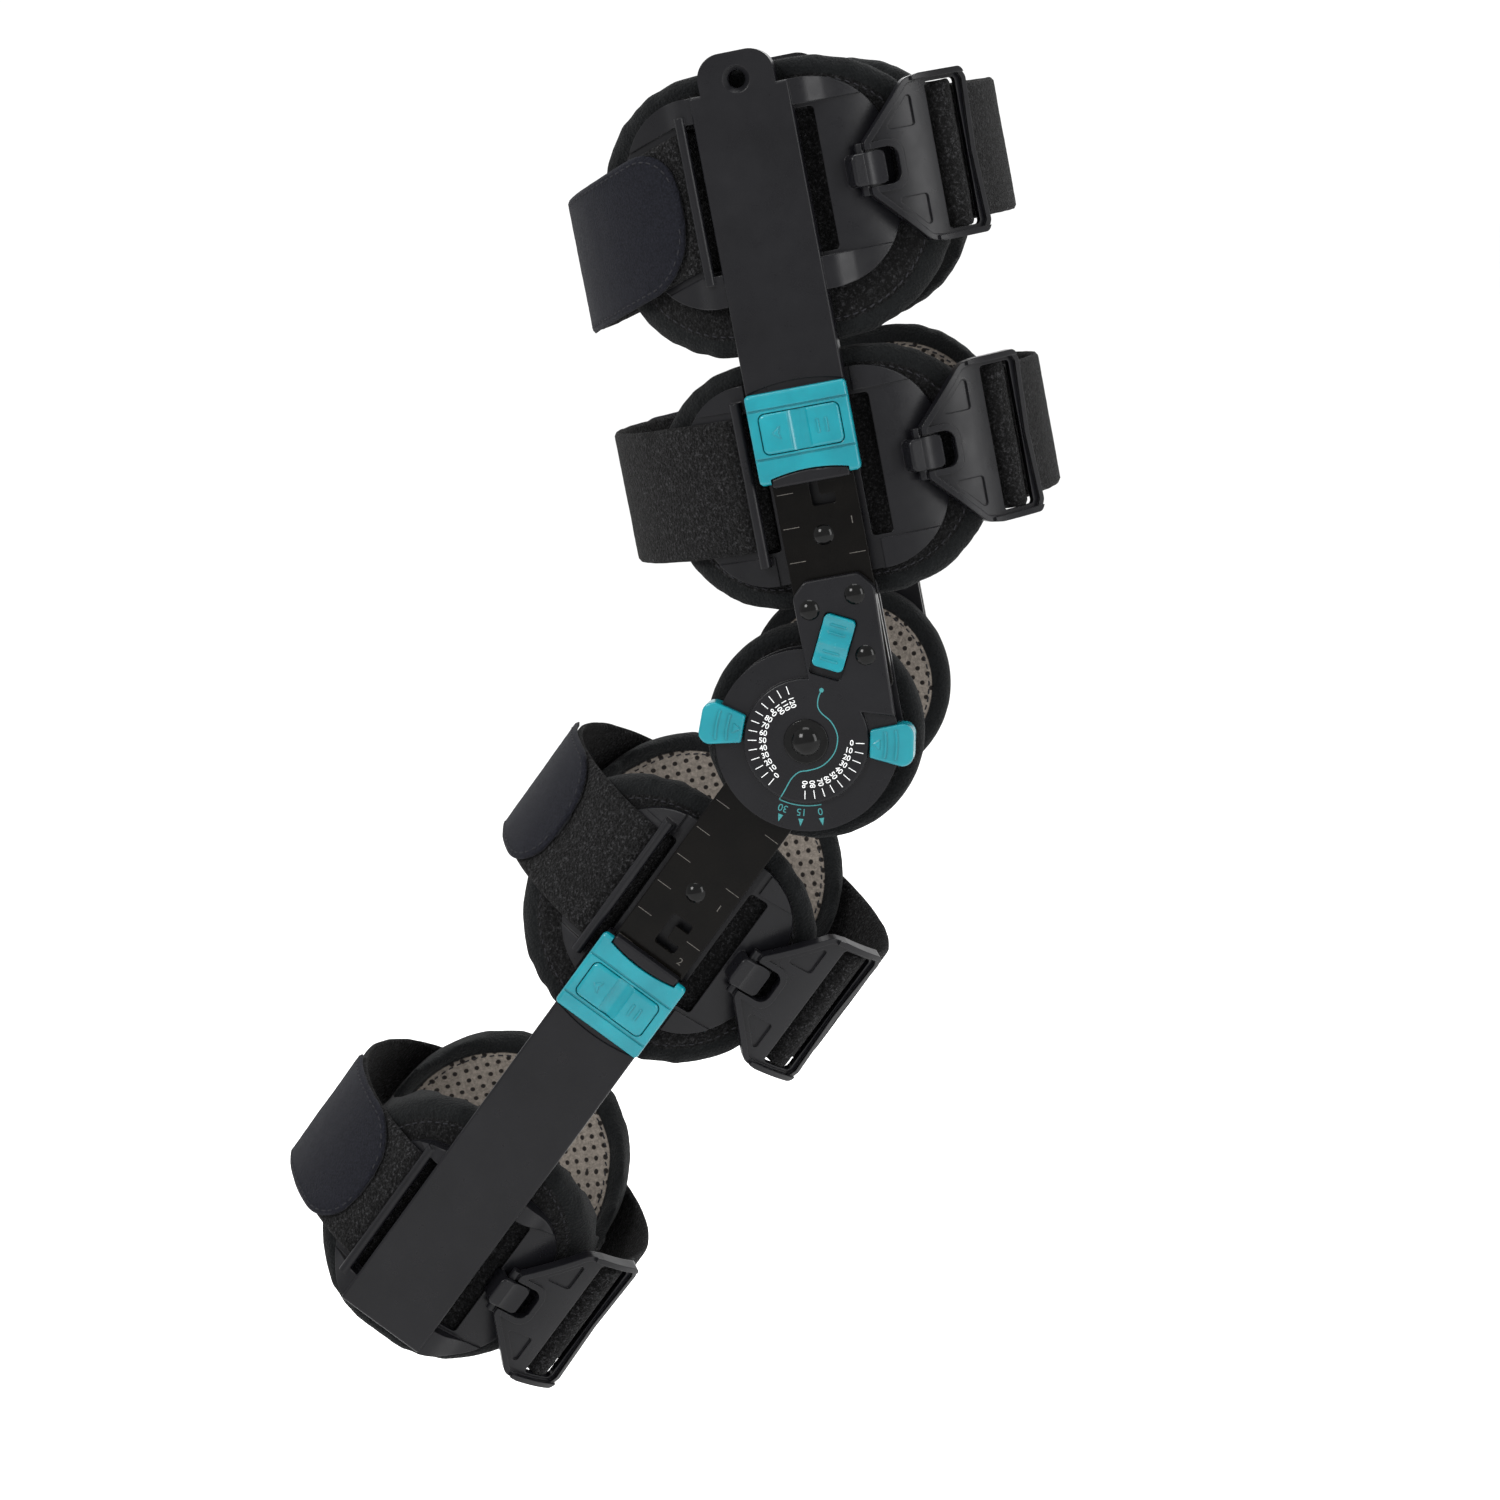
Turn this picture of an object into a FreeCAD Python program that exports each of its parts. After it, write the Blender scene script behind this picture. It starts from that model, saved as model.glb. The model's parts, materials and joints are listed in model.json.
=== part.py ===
# Hinged knee brace with two telescoping uprights, four strapped cuffs and a dial hinge on each side.
# Millimetres. Origin: knee axis, midway between the two hinges.
# +Z runs up the thigh uprights, +X points to the front of the leg, -Y is the outer (lateral) side.
# Every side part is drawn once for the +Y side; "w" is the distance outwards from the middle plane.
# Calf parts are drawn with the leg straight, then turned about the knee axis to the resting flexion.
import FreeCAD, Part
import math
import os

V = FreeCAD.Vector

# ---- driving dimensions ----
REST_FLEXION = 46.5        # knee angle the brace rests at, degrees

BAR_WIDTH = 30.4
BAR_THICK = 3.0
THIGH_BAR_W = 75.0         # inner face of the thigh upright
CALF_BAR_W = 70.9          # inner face of the calf upright
THIGH_AXIS_X = 20.0        # thigh upright runs this far in front of the knee axis
THIGH_BAR_TOP = 205.0
CALF_BAR_END = 236.0
NOTCH_FIRST = 91.0         # first lock notch from the knee axis
NOTCH_PITCH = 25.4         # one inch per length step
RIVET_FROM_KNEE = 73.4     # rivet that carries the middle cuffs

DIAL_R = 34.0
DIAL_INNER_R = 23.3
HUB_R = 22.0
AXLE_R = 5.0
RUN_FIT = 0.06             # radial running clearance on the axle
COVER_FRONT = 83.2
RING_BACK = 79.3
RING_FRONT = 81.2
STOP_REACH = 39.8           # the flexion and extension stops end this far from the knee axis
STOP_HEIGHT = 1.2           # and stand this far above the cover
BACK_PLATE = (68.5, 70.6)
FLEX_STOP_ANGLE = 159.0    # stop set to 60 on the flexion scale
EXT_STOP_ANGLE = -12.0     # stop set to 0 on the extension scale
LOCK_TURN = 26.5           # drop lock lies this far off the upright's axis
CONDYLE_R = 40.5
CONDYLE_DEPTH = 14.0

SLEEVE_GAP = 0.3           # play between a sleeve and its upright
SLEEVE_WALL = 2.0
SHELL_THICK = 2.4
SLOT_IN = 17.0             # strap slots, measured from the upright's axis
SLOT_OUT = 25.0
STRAP_WIDTH = 50.0         # two-inch webbing
STRAP_THICK = 1.8
STRAP_LIFT = 0.5
ROD_R = 2.0

# One cuff: axis of its upright, centre and half sizes of the ellipse its strap follows, the flat
# level behind the upright, strap height, shell and pad outlines (z measured from the knee axis).
CUFFS = {
    "thigh_top": dict(bar_x=20.0, cx=23.0, a=80.0, b=77.0, flat=74.7, strap_z=200.5, strap_drop=17.0,
                      shell=(-49.0, 48.5, 161.0, 237.5), shell_r=27.0,
                      pad=(-62.0, 66.0, 142.0, 245.0), pad_r=46.0, pad_t=10.0, hook_x=37.0),
    "thigh_low": dict(bar_x=20.0, cx=21.0, a=80.0, b=75.0, flat=72.0, strap_z=95.5,
                      shell=(-47.5, 47.0, 57.0, 132.0), shell_r=27.0,
                      pad=(-60.0, 64.0, 47.5, 139.0), pad_r=43.0, pad_t=10.0, hook_x=38.0),
    "calf_high": dict(bar_x=0.0, cx=0.0, a=72.0, b=70.0, flat=67.9, strap_z=-88.5,
                      shell=(-40.0, 40.5, -126.5, -51.5), shell_r=27.0,
                      pad=(-59.0, 53.0, -143.0, -43.5), pad_r=46.0, pad_t=10.0, hook_x=31.0),
    "calf_low": dict(bar_x=0.0, cx=0.0, a=66.0, b=72.0, flat=70.6, strap_z=-246.0,
                     shell=(-36.0, 41.0, -284.5, -211.0), shell_r=25.0,
                     pad=(-50.0, 52.0, -291.0, -194.0), pad_r=44.0, pad_t=13.0, hook_x=29.0),
}

BUCKLE_THICK = 3.0
BUCKLE_BEND_R = 60.0       # inner bend radius of the buckle plate
BUCKLE_PIVOT_LIFT = 3.4    # hook bar centre above the shell
BUCKLE_LENGTH = 46.0
BUCKLE_WIDE = 30.5
BUCKLE_NARROW = 9.5


# ---- helpers ----
def box(x0, x1, y0, y1, z0, z1):
    return Part.makeBox(x1 - x0, y1 - y0, z1 - z0, V(x0, y0, z0))


def disc(r, w0, w1, x=0.0, z=0.0):
    return Part.makeCylinder(r, w1 - w0, V(x, w0, z), V(0, 1, 0))


def outline(points, radii):
    """Closed face in the X-Z plane through the points, corners rounded."""
    if not isinstance(radii, (list, tuple)):
        radii = [radii] * len(points)
    pts = [V(p[0], 0, p[1]) for p in points]
    edges = []
    ends = []
    for i, p in enumerate(pts):
        before = (pts[i - 1] - p)
        after = (pts[(i + 1) % len(pts)] - p)
        before.normalize()
        after.normalize()
        if radii[i] <= 0:
            ends.append((p, None, p))
            continue
        half = before.getAngle(after) / 2
        cut = radii[i] / math.tan(half)
        bisector = before + after
        bisector.normalize()
        centre = p + bisector * (radii[i] / math.sin(half))
        ends.append((p + before * cut, centre - bisector * radii[i], p + after * cut))
    for i, (start, mid, stop) in enumerate(ends):
        if mid is not None:
            edges.append(Part.Arc(start, mid, stop).toShape())
        following = ends[(i + 1) % len(ends)][0]
        if stop.distanceToPoint(following) > 1e-6:
            edges.append(Part.makeLine(stop, following))
    return Part.Face(Part.Wire(edges))


def prism(points, radii, w0, w1):
    face = outline(points, radii)
    face.translate(V(0, w0, 0))
    return face.extrude(V(0, w1 - w0, 0))


def rect(x0, x1, z0, z1, r, w0, w1):
    return prism([(x0, z0), (x1, z0), (x1, z1), (x0, z1)], r, w0, w1)


def ellipse_column(cx, a, b, z0, z1):
    if a >= b:
        curve = Part.Ellipse(V(cx + a, 0, z0), V(cx, b, z0), V(cx, 0, z0))
    else:
        curve = Part.Ellipse(V(cx, b, z0), V(cx - a, 0, z0), V(cx, 0, z0))
    return Part.Face(Part.Wire(curve.toShape())).extrude(V(0, 0, z1 - z0))


def wall(c, inset0, inset1, z0, z1):
    """Side wall of a cuff between two insets, flattened behind the upright."""
    parts = []
    for inset in (inset0, inset1):
        column = ellipse_column(c["cx"], c["a"] - inset, c["b"] - inset, z0, z1)
        parts.append(column.common(box(-200, 200, 0, c["flat"] - inset, z0, z1)))
    return parts[0].cut(parts[1])


def side_level(c, x, lift=0.0):
    """Distance out from the middle plane of the cuff surface at x."""
    u = (x - c["cx"]) / (c["a"] + lift)
    return (c["b"] + lift) * math.sqrt(max(0.0, 1 - u * u))


def plan_prism(points, z0, z1):
    """Column over a closed plan outline given in (x, y)."""
    pts = [V(p[0], p[1], z0) for p in points]
    return Part.Face(Part.makePolygon(pts + pts[:1])).extrude(V(0, 0, z1 - z0))


def band(cx, a, b, thick, z0, z1):
    """Closed loop of webbing round an ellipse, inner face on the given half sizes."""
    outer = ellipse_column(cx, a + thick, b + thick, z0, z1)
    return outer.cut(ellipse_column(cx, a, b, z0 - 1, z1 + 1))


def sector(cx, from_deg, to_deg, z0, z1):
    """Plan wedge about (cx, 0), narrower than half a turn."""
    pts = [(cx, 0)]
    for turn in (from_deg, (from_deg + to_deg) / 2, to_deg):
        t = math.radians(turn)
        pts.append((cx + 400 * math.cos(t), 400 * math.sin(t)))
    return plan_prism(pts, z0, z1)


def fuse(first, *others):
    for other in others:
        first = first.fuse(other)
    return first.removeSplitter()


def cut(first, *others):
    for other in others:
        first = first.cut(other)
    return first


def rounded_edges(shape, r, select):
    """Fillet the edges picked by select(edge); the shape is kept as it is if that fails."""
    picked = [e for e in shape.Edges if select(e)]
    try:
        result = shape.makeFillet(r, picked)
        if result.isValid() and result.Volume > 0.8 * shape.Volume:
            return result
    except Exception:
        pass
    return shape


def at_level(level, tol=0.02):
    return lambda e: abs(e.BoundBox.YMin - level) < tol and abs(e.BoundBox.YMax - level) < tol


def mirrored(shape):
    return shape.mirror(V(0, 0, 0), V(0, 1, 0))


def bent(shape):
    """Turn a part drawn for the straight leg to the resting flexion."""
    out = shape.copy()
    out.rotate(V(0, 0, 0), V(0, 1, 0), REST_FLEXION)
    return out


def wedge(r0, r1, centre_deg, half_deg, w0, w1):
    ring = disc(r1, w0, w1).cut(disc(r0, w0 - 1, w1 + 1))
    far = 2.5 * r1
    pts = [(0, 0)]
    for turn in (-half_deg, half_deg):
        angle = math.radians(centre_deg + turn)
        pts.append((far * math.cos(angle), far * math.sin(angle)))
    return ring.common(prism(pts, 0, w0 - 1, w1 + 1))


def dome_rivet(x, z, head_w, tail_w, r=3.8, shank=1.9, height=1.7):
    ball_r = (r * r + height * height) / (2 * height)
    ball = Part.makeSphere(ball_r, V(x, head_w + height - ball_r, z))
    cap = ball.common(disc(r + 1, head_w, head_w + height + 1, x, z))
    return fuse(cap, disc(shank, tail_w, head_w, x, z))


PIECES = {}


def both(name, shape, calf=False, medial=None):
    """Store a part for both sides; medial gives the inner side's own variant where it differs."""
    inner = medial or shape
    if calf:
        shape = bent(shape)
        inner = bent(inner)
    PIECES[name + "_med"] = inner
    PIECES[name + "_lat"] = mirrored(shape)


# ---- uprights ----
def lock_notch(x, z):
    """C-shaped lock notch, open towards the front of the leg."""
    slot = rect(x - 2.0, x + 7.0, z - 6.7, z + 6.7, 1.2, 0, 100)
    tongue = rect(x + 1.4, x + 9.0, z - 3.0, z + 3.0, 1.0, -1, 101)
    return slot.cut(tongue)


def make_uprights():
    half = BAR_WIDTH / 2
    x0 = THIGH_AXIS_X - half
    x1 = THIGH_AXIS_X + half
    w0 = THIGH_BAR_W
    w1 = w0 + BAR_THICK
    bar = prism([(x0, 2), (21, 4), (x1, 15), (x1, THIGH_BAR_TOP), (x0, THIGH_BAR_TOP)],
                [0, 0, 3, 5, 5], w0, w1)
    bar = fuse(bar, disc(HUB_R, w0, w1))
    bar = cut(bar, disc(AXLE_R, w0 - 1, w1 + 1))
    for i in range(5):
        bar = cut(bar, lock_notch(THIGH_AXIS_X, NOTCH_FIRST + i * NOTCH_PITCH))
    bar = cut(bar, disc(1.9, w0 - 1, w1 + 1, THIGH_AXIS_X, RIVET_FROM_KNEE))
    for x, z in HINGE_RIVETS:
        bar = cut(bar, disc(1.9, w0 - 1, w1 + 1, x, z))
    bar = cut(bar, lock_window(w0 - 1, w1 + 1))
    bar = rounded_edges(bar, 0.35, lambda e: at_level(w1)(e) and e.Length > 60)
    both("thigh_bar", bar)

    w0 = CALF_BAR_W
    w1 = w0 + BAR_THICK
    bar = rect(-half, half, -CALF_BAR_END, 0, [5, 5, 0, 0], w0, w1)
    bar = fuse(bar, disc(HUB_R, w0, w1))
    bar = cut(bar, disc(AXLE_R + RUN_FIT, w0 - 1, w1 + 1))
    for i in range(6):
        notch = lock_notch(0, NOTCH_FIRST + i * NOTCH_PITCH)
        bar = cut(bar, notch.mirror(V(0, 0, 0), V(0, 0, 1)))
    bar = cut(bar, disc(1.9, w0 - 1, w1 + 1, 0, -RIVET_FROM_KNEE))
    bar = rounded_edges(bar, 0.35, lambda e: at_level(w1)(e) and e.Length > 60)
    both("calf_bar", bar, calf=True)


# ---- hinge ----
HINGE_RIVETS = [(10.4, 47.5), (27.8, 50.4), (27.6, 27.6)]
LOCK_MID = (17.0, 34.2)    # centre of the drop lock's thumb piece
LOCK_SIZE = (11.8, 20.0)
LOCK_TRAVEL = 3.0
LOCK_PIN_R = 1.6
LOCK_PIN_REST = 27.6       # pin distance from the knee axis
LOCK_STEM = (31.4, 33.6)   # stem between pin link and thumb piece, along the lock's line
LOCK_FLOOR = COVER_FRONT - 2.4
LOCK_HEIGHT = 2.4          # thumb piece above the cover


def along_lock(shape):
    """Place a part drawn on the +Z axis through the knee axis onto the drop lock's line."""
    out = shape.copy()
    out.rotate(V(0, 0, 0), V(0, 1, 0), LOCK_TURN)
    return out


def lock_window(w0, w1):
    r = LOCK_PIN_R + 0.4
    z0 = LOCK_PIN_REST - LOCK_TRAVEL - r
    return along_lock(rect(-r, r, z0, LOCK_PIN_REST + r, r - 0.01, w0, w1))


def make_hinge():
    x0 = THIGH_AXIS_X - 15.0
    x1 = THIGH_AXIS_X + 15.3
    mid_r = math.hypot(*LOCK_MID)
    low = mid_r - LOCK_SIZE[1] / 2
    arm = prism([(x0, 12), (x1 - 1.5, 3.5), (x1, 52), (x1 - 5, 58), (x0 + 5, 58), (x0, 53)],
                [0, 0, 4, 3, 3, 4], THIGH_BAR_W + BAR_THICK, COVER_FRONT)
    cover = fuse(arm, disc(DIAL_INNER_R, THIGH_BAR_W + BAR_THICK, COVER_FRONT),
                 disc(DIAL_R, RING_BACK, RING_FRONT))
    cover = rounded_edges(cover, 0.8, at_level(COVER_FRONT))
    channel = rect(-LOCK_SIZE[0] / 2 - 0.3, LOCK_SIZE[0] / 2 + 0.3, low - LOCK_TRAVEL - 0.4,
                   low + LOCK_SIZE[1] + 0.3, 1.5, LOCK_FLOOR, COVER_FRONT + 2)
    r = LOCK_PIN_R + 0.4
    pocket = rect(-r, r, LOCK_PIN_REST - LOCK_TRAVEL - r, LOCK_STEM[1] + 0.4, 1.0, 77, LOCK_FLOOR - 0.8)
    slot = rect(-r, r, LOCK_STEM[0] - LOCK_TRAVEL - 0.3, LOCK_STEM[1] + 0.4, 0.5, 77, 84)
    cover = cut(cover, along_lock(channel), along_lock(pocket), along_lock(slot), disc(AXLE_R, 70, 90))
    for x, z in HINGE_RIVETS:
        cover = cut(cover, disc(1.9, 70, 90, x, z))
    both("hinge_cover", cover)

    b0, b1 = BACK_PLATE
    a0 = x0 + 0.5
    a1 = x1 - 0.5
    pad = prism([(a0, 40), (14, 40), (14, 24), (a1, 24), (a1, 55.5), (a0, 55.5)], [2, 0, 2, 2, 4, 4],
                b1 - 0.1, THIGH_BAR_W)
    back = fuse(disc(DIAL_R, b0, b1), rect(x0, x1, 0, 56, [0, 0, 5, 5], b0, b1), pad)
    back = cut(back, disc(AXLE_R, 60, 80))
    for x, z in HINGE_RIVETS:
        back = cut(back, disc(1.9, 60, 80, x, z))
    both("hinge_back", back)

    pad = disc(CONDYLE_R, b0 - CONDYLE_DEPTH, b0, 1.5, 1.0)
    pad = rounded_edges(pad, 4.0, at_level(b0 - CONDYLE_DEPTH))
    pad = cut(pad, disc(9.6, b0 - 1.5, b0 + 1))
    both("condyle_pad", pad)

    head = disc(9.0, b0 - 1.2, b0)
    boss = disc(8.3, COVER_FRONT, COVER_FRONT + 0.9)
    boss = rounded_edges(boss, 0.5, at_level(COVER_FRONT + 0.9))
    cap = dome_rivet(0, 0, COVER_FRONT + 0.9, 80, 5.4, 4, 2.6)
    pin = fuse(head, disc(AXLE_R, b0, COVER_FRONT), boss, cap)
    pins = Part.makeCompound([pin, mirrored(pin)])
    PIECES["hinge_axles"] = pins

    washer = disc(9.0, CALF_BAR_W + BAR_THICK + 0.2, THIGH_BAR_W).cut(disc(AXLE_R, 60, 90))
    PIECES["hinge_washers"] = Part.makeCompound([washer, mirrored(washer)])

    rivets = [dome_rivet(x, z, COVER_FRONT, BACK_PLATE[0]) for x, z in HINGE_RIVETS]
    rivets.append(dome_rivet(THIGH_AXIS_X, RIVET_FROM_KNEE, THIGH_BAR_W + BAR_THICK,
                             CUFFS["thigh_low"]["flat"] - SHELL_THICK))
    PIECES["thigh_rivets"] = Part.makeCompound(rivets + [mirrored(r) for r in rivets])
    rivet = bent(dome_rivet(0, -RIVET_FROM_KNEE, CALF_BAR_W + BAR_THICK,
                            CUFFS["calf_high"]["flat"] - SHELL_THICK))
    PIECES["calf_rivets"] = Part.makeCompound([rivet, mirrored(rivet)])

    top = COVER_FRONT + LOCK_HEIGHT
    thumb = rect(-LOCK_SIZE[0] / 2, LOCK_SIZE[0] / 2, low, low + LOCK_SIZE[1], 2.0, LOCK_FLOOR + 0.2, top)
    thumb = rounded_edges(thumb, 0.9, at_level(top))
    for z in (mid_r - 5.2, mid_r + 5.0):
        thumb = cut(thumb, Part.makeCylinder(7.5, 40, V(-20, top + 6.1, z), V(1, 0, 0)))
        for step in (-1.5, 1.5):
            thumb = fuse(thumb, rect(-3.2, 3.2, z + step - 0.35, z + step + 0.35, 0.3, top - 2.2, top - 0.95))
    pin = disc(LOCK_PIN_R, CALF_BAR_W + 0.4, LOCK_FLOOR - 1.2, 0, LOCK_PIN_REST)
    link_back = THIGH_BAR_W + BAR_THICK + 0.2
    link = box(-LOCK_PIN_R, LOCK_PIN_R, link_back, LOCK_FLOOR - 1.0, LOCK_PIN_REST, LOCK_STEM[1])
    stem = box(-LOCK_PIN_R, LOCK_PIN_R, LOCK_FLOOR - 1.4, LOCK_FLOOR + 0.6, *LOCK_STEM)
    both("drop_lock", along_lock(fuse(thumb, pin, link, stem)))


def stop_block(centre_deg):
    """Wedge-shaped rider that grips the dial's ring and carries grip ribs and a pointer."""
    top = COVER_FRONT + STOP_HEIGHT
    root = DIAL_INNER_R + 0.4
    body = prism([(root, -5.1), (STOP_REACH, -9.0), (STOP_REACH, 9.0), (root, 5.1)], [0.8, 4.2, 4.2, 0.8],
                 75.4, top)
    body = rounded_edges(body, 0.8, at_level(top))
    ribs = [wedge(r - 0.45, r + 0.45, 0, 9.5, top - 0.4, top + 0.45) for r in (29.6, 33.6)]
    pointer = prism([(24.6, 0), (27.4, -1.9), (27.4, 1.9)], 0, top - 0.4, top + 0.35)
    body = fuse(body, pointer, *ribs)
    body.rotate(V(0, 0, 0), V(0, 1, 0), -centre_deg)
    return cut(body, disc(DIAL_R + 0.3, RING_BACK - 0.3, RING_FRONT + 0.3))


# ---- cuffs ----
def hook_frame(c):
    """Point and turn (degrees) of the hook bar on the cuff surface."""
    x = c["bar_x"] + c["hook_x"]
    w = side_level(c, x)
    slope = math.degrees(math.atan2(c["b"] ** 2 * (x - c["cx"]), c["a"] ** 2 * w))
    return x, w, slope


def on_hook(shape, c):
    x, w, slope = hook_frame(c)
    out = shape.copy()
    out.rotate(V(0, 0, 0), V(0, 0, 1), -slope)
    out.translate(V(x, w, c["strap_z"]))
    return out


def hook_solid():
    """Fixed hook: boss inside the buckle window and a tongue over the buckle's bar."""
    n = BUCKLE_PIVOT_LIFT
    boss = box(2.4, 8.0, -3.0, n + 2.6, -5.6, 5.6)
    tongue = rect(-5.2, 8.0, -6.0, 6.0, 2.2, n + 2.2, n + 4.4)
    lip = rect(-5.2, 8.0, -6.0, 6.0, 2.2, -3.0, n + 4.4).common(box(-6, -3.0, -4, 20, -7, 7))
    body = fuse(boss, tongue, lip)
    body = rounded_edges(body, 1.1, lambda e: e.BoundBox.YMin > n + 4.3)
    return cut(body, Part.makeCylinder(9.0, 14, V(3.6, n + 12.5, -7), V(0, 0, 1)))


SHOULDER_RISE = 1.0        # the shell is this much thicker above and below the strap's path
SHOULDER_FROM_STRAP = 27.6
SHOULDER_RUN = 13.0        # length of the sweep from the shell up to the sleeve


def shoulders(c, inner, top=None):
    """Thicker bands of the shell above and below the strap, swept up to the sleeve where there is one."""
    x0, x1, z0, z1 = c["shell"]
    bx = c["bar_x"]
    parts = []
    for sign in (-1, 1):
        crest = []
        root = []
        for i in range(13):
            away = inner + (c["shell_r"] + 24.0 - inner) * i / 12
            level = min(c["flat"], side_level(c, bx + sign * away))
            height = level + SHOULDER_RISE
            if top is not None:
                run = min(1.0, (away - inner) / SHOULDER_RUN)
                height += (top - height) * (1 - run * run * (3 - 2 * run))
            crest.append(V(bx + sign * away, height, z0))
            root.append(V(bx + sign * away, level - 1.2, z0))
        upper = Part.BSplineCurve()
        upper.interpolate(crest)
        lower = Part.BSplineCurve()
        lower.interpolate(root)
        wire = Part.Wire([upper.toShape(), Part.makeLine(crest[-1], root[-1]), lower.toShape(),
                          Part.makeLine(root[0], crest[0])])
        parts.append(Part.Face(wire).extrude(V(0, 0, z1 - z0)))
    edge = rect(bx + x0, bx + x1, z0, z1, c["shell_r"], 0, 100)
    path = strap_slab(c, SHOULDER_FROM_STRAP)
    return [cut(part.common(edge), path) for part in parts]


def shell_solid(c, hook=True, shoulder_from=19.8, shoulder_top=None):
    x0, x1, z0, z1 = c["shell"]
    bx = c["bar_x"]
    sheet = wall(c, 0.0, SHELL_THICK, z0, z1)
    shape = sheet.common(rect(bx + x0, bx + x1, z0, z1, c["shell_r"], 0, 100))
    shape = fuse(shape, *shoulders(c, shoulder_from, shoulder_top))
    sz = c["strap_z"]
    half = STRAP_WIDTH / 2 + 1.2
    for sign in (-1, 1):
        a, b = sorted((bx + sign * SLOT_IN, bx + sign * SLOT_OUT))
        shape = cut(shape, rect(a, b, sz - half, sz + half, 1.5, 0, 100))
    rx = bx - SLOT_OUT + 1.6
    level = side_level(c, rx) + STRAP_THICK + STRAP_LIFT + 0.5 + ROD_R
    rod = Part.makeCylinder(ROD_R, 2 * half + 9.0, V(rx, level, sz - half - 4.5), V(0, 0, 1))
    for sign in (-1, 1):
        z = sz + sign * (half + 2.6)
        shape = fuse(shape, box(rx - ROD_R, rx + ROD_R, side_level(c, rx) - 2.2, level, z - 1.9, z + 1.9))
    shape = fuse(shape, rod)
    if not hook:
        return shape
    return fuse(shape, on_hook(hook_solid(), c).common(ellipse_keepout(c)))


def ellipse_keepout(c):
    """Everything outside the inner face of the shell, so the hook's root stops there."""
    big = box(-150, 200, 0, 120, c["strap_z"] - 20, c["strap_z"] + 20)
    inner = ellipse_column(c["cx"], c["a"] - 1.2, c["b"] - 1.2, c["strap_z"] - 21, c["strap_z"] + 21)
    return big.cut(inner)


def pad_solid(c):
    x0, x1, z0, z1 = c["pad"]
    bx = c["bar_x"]
    t0 = SHELL_THICK
    sheet = wall(c, t0, t0 + c["pad_t"], z0, z1)
    pad = sheet.common(rect(bx + x0, bx + x1, z0, z1, c["pad_r"], 0, 100))
    sz = c["strap_z"]
    half = STRAP_WIDTH / 2 + 1.0
    room = box(bx - 27.5, bx + 27.5, under_level(c) - STRAP_THICK - 0.4, 100, sz - half, sz + half)
    return cut(pad, room)


STEP_DEPTH = 0.6           # arched step of the sleeve just past the lock housing
LIP_PROUD = 1.5            # the sleeve's mouth stands this far out of the lock housing


def sleeve_solid(c, bar_w, z0, z1, direction, hook):
    """Square tube that slides on the upright, with the cuff shell grown out of its back wall."""
    bx = c["bar_x"]
    mouth = z0 if direction > 0 else z1
    clip_z = mouth + direction * 18.4
    inner_x = BAR_WIDTH / 2 + SLEEVE_GAP
    outer_x = inner_x + SLEEVE_WALL + 0.8
    front = bar_w + BAR_THICK + SLEEVE_GAP
    face = front + SLEEVE_WALL
    back = c["flat"] - SHELL_THICK
    tube = rect(bx - outer_x, bx + outer_x, z0, z1, 1.0, back, face)
    tube = rounded_edges(tube, 1.0, lambda e: at_level(face)(e) and e.Length > 60)
    shape = fuse(tube, shell_solid(c, hook, outer_x - 0.4, face - 1.0))
    clip_end = mouth + direction * CLIP_HEIGHT
    arch = disc(65.7, face - STEP_DEPTH, face + 1, bx, clip_end - direction * 62.9)
    zone = sorted((clip_end, clip_end + direction * 10))
    shape = cut(shape, arch.common(box(bx - 30, bx + 30, 60, 90, *zone)))
    lip_z = mouth - direction * MOUTH_ARC_FROM
    lip = disc(MOUTH_ARC_R - 0.2, front + 0.1, face + CLIP_THICK - 0.3, bx, lip_z)
    zone = sorted((mouth - direction * LIP_PROUD, mouth + direction * 5))
    lip = lip.common(rect(bx - 14.4, bx + 14.4, zone[0], zone[1], 1.0, 60, 90))
    lip = rounded_edges(lip, 0.9, at_level(face + CLIP_THICK - 0.3))
    shape = fuse(shape, lip)
    hollow = box(bx - inner_x, bx + inner_x, c["flat"], front, z0 - 3, z1 - 4.0)
    if direction < 0:
        hollow = box(bx - inner_x, bx + inner_x, c["flat"], front, z0 + 4.0, z1 + 3)
    tooth = rect(bx - 3.2, bx + 3.2, clip_z - 3.2, clip_z + 3.2, 1.0, front - 1, front + 5)
    return cut(shape, hollow, tooth)


CLIP_HALF = 18.3
CLIP_HEIGHT = 33.4
CLIP_THICK = 3.2
MOUTH_ARC_R = 60.0         # concave mouth edge of the lock housing
MOUTH_ARC_FROM = 56.2


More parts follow.
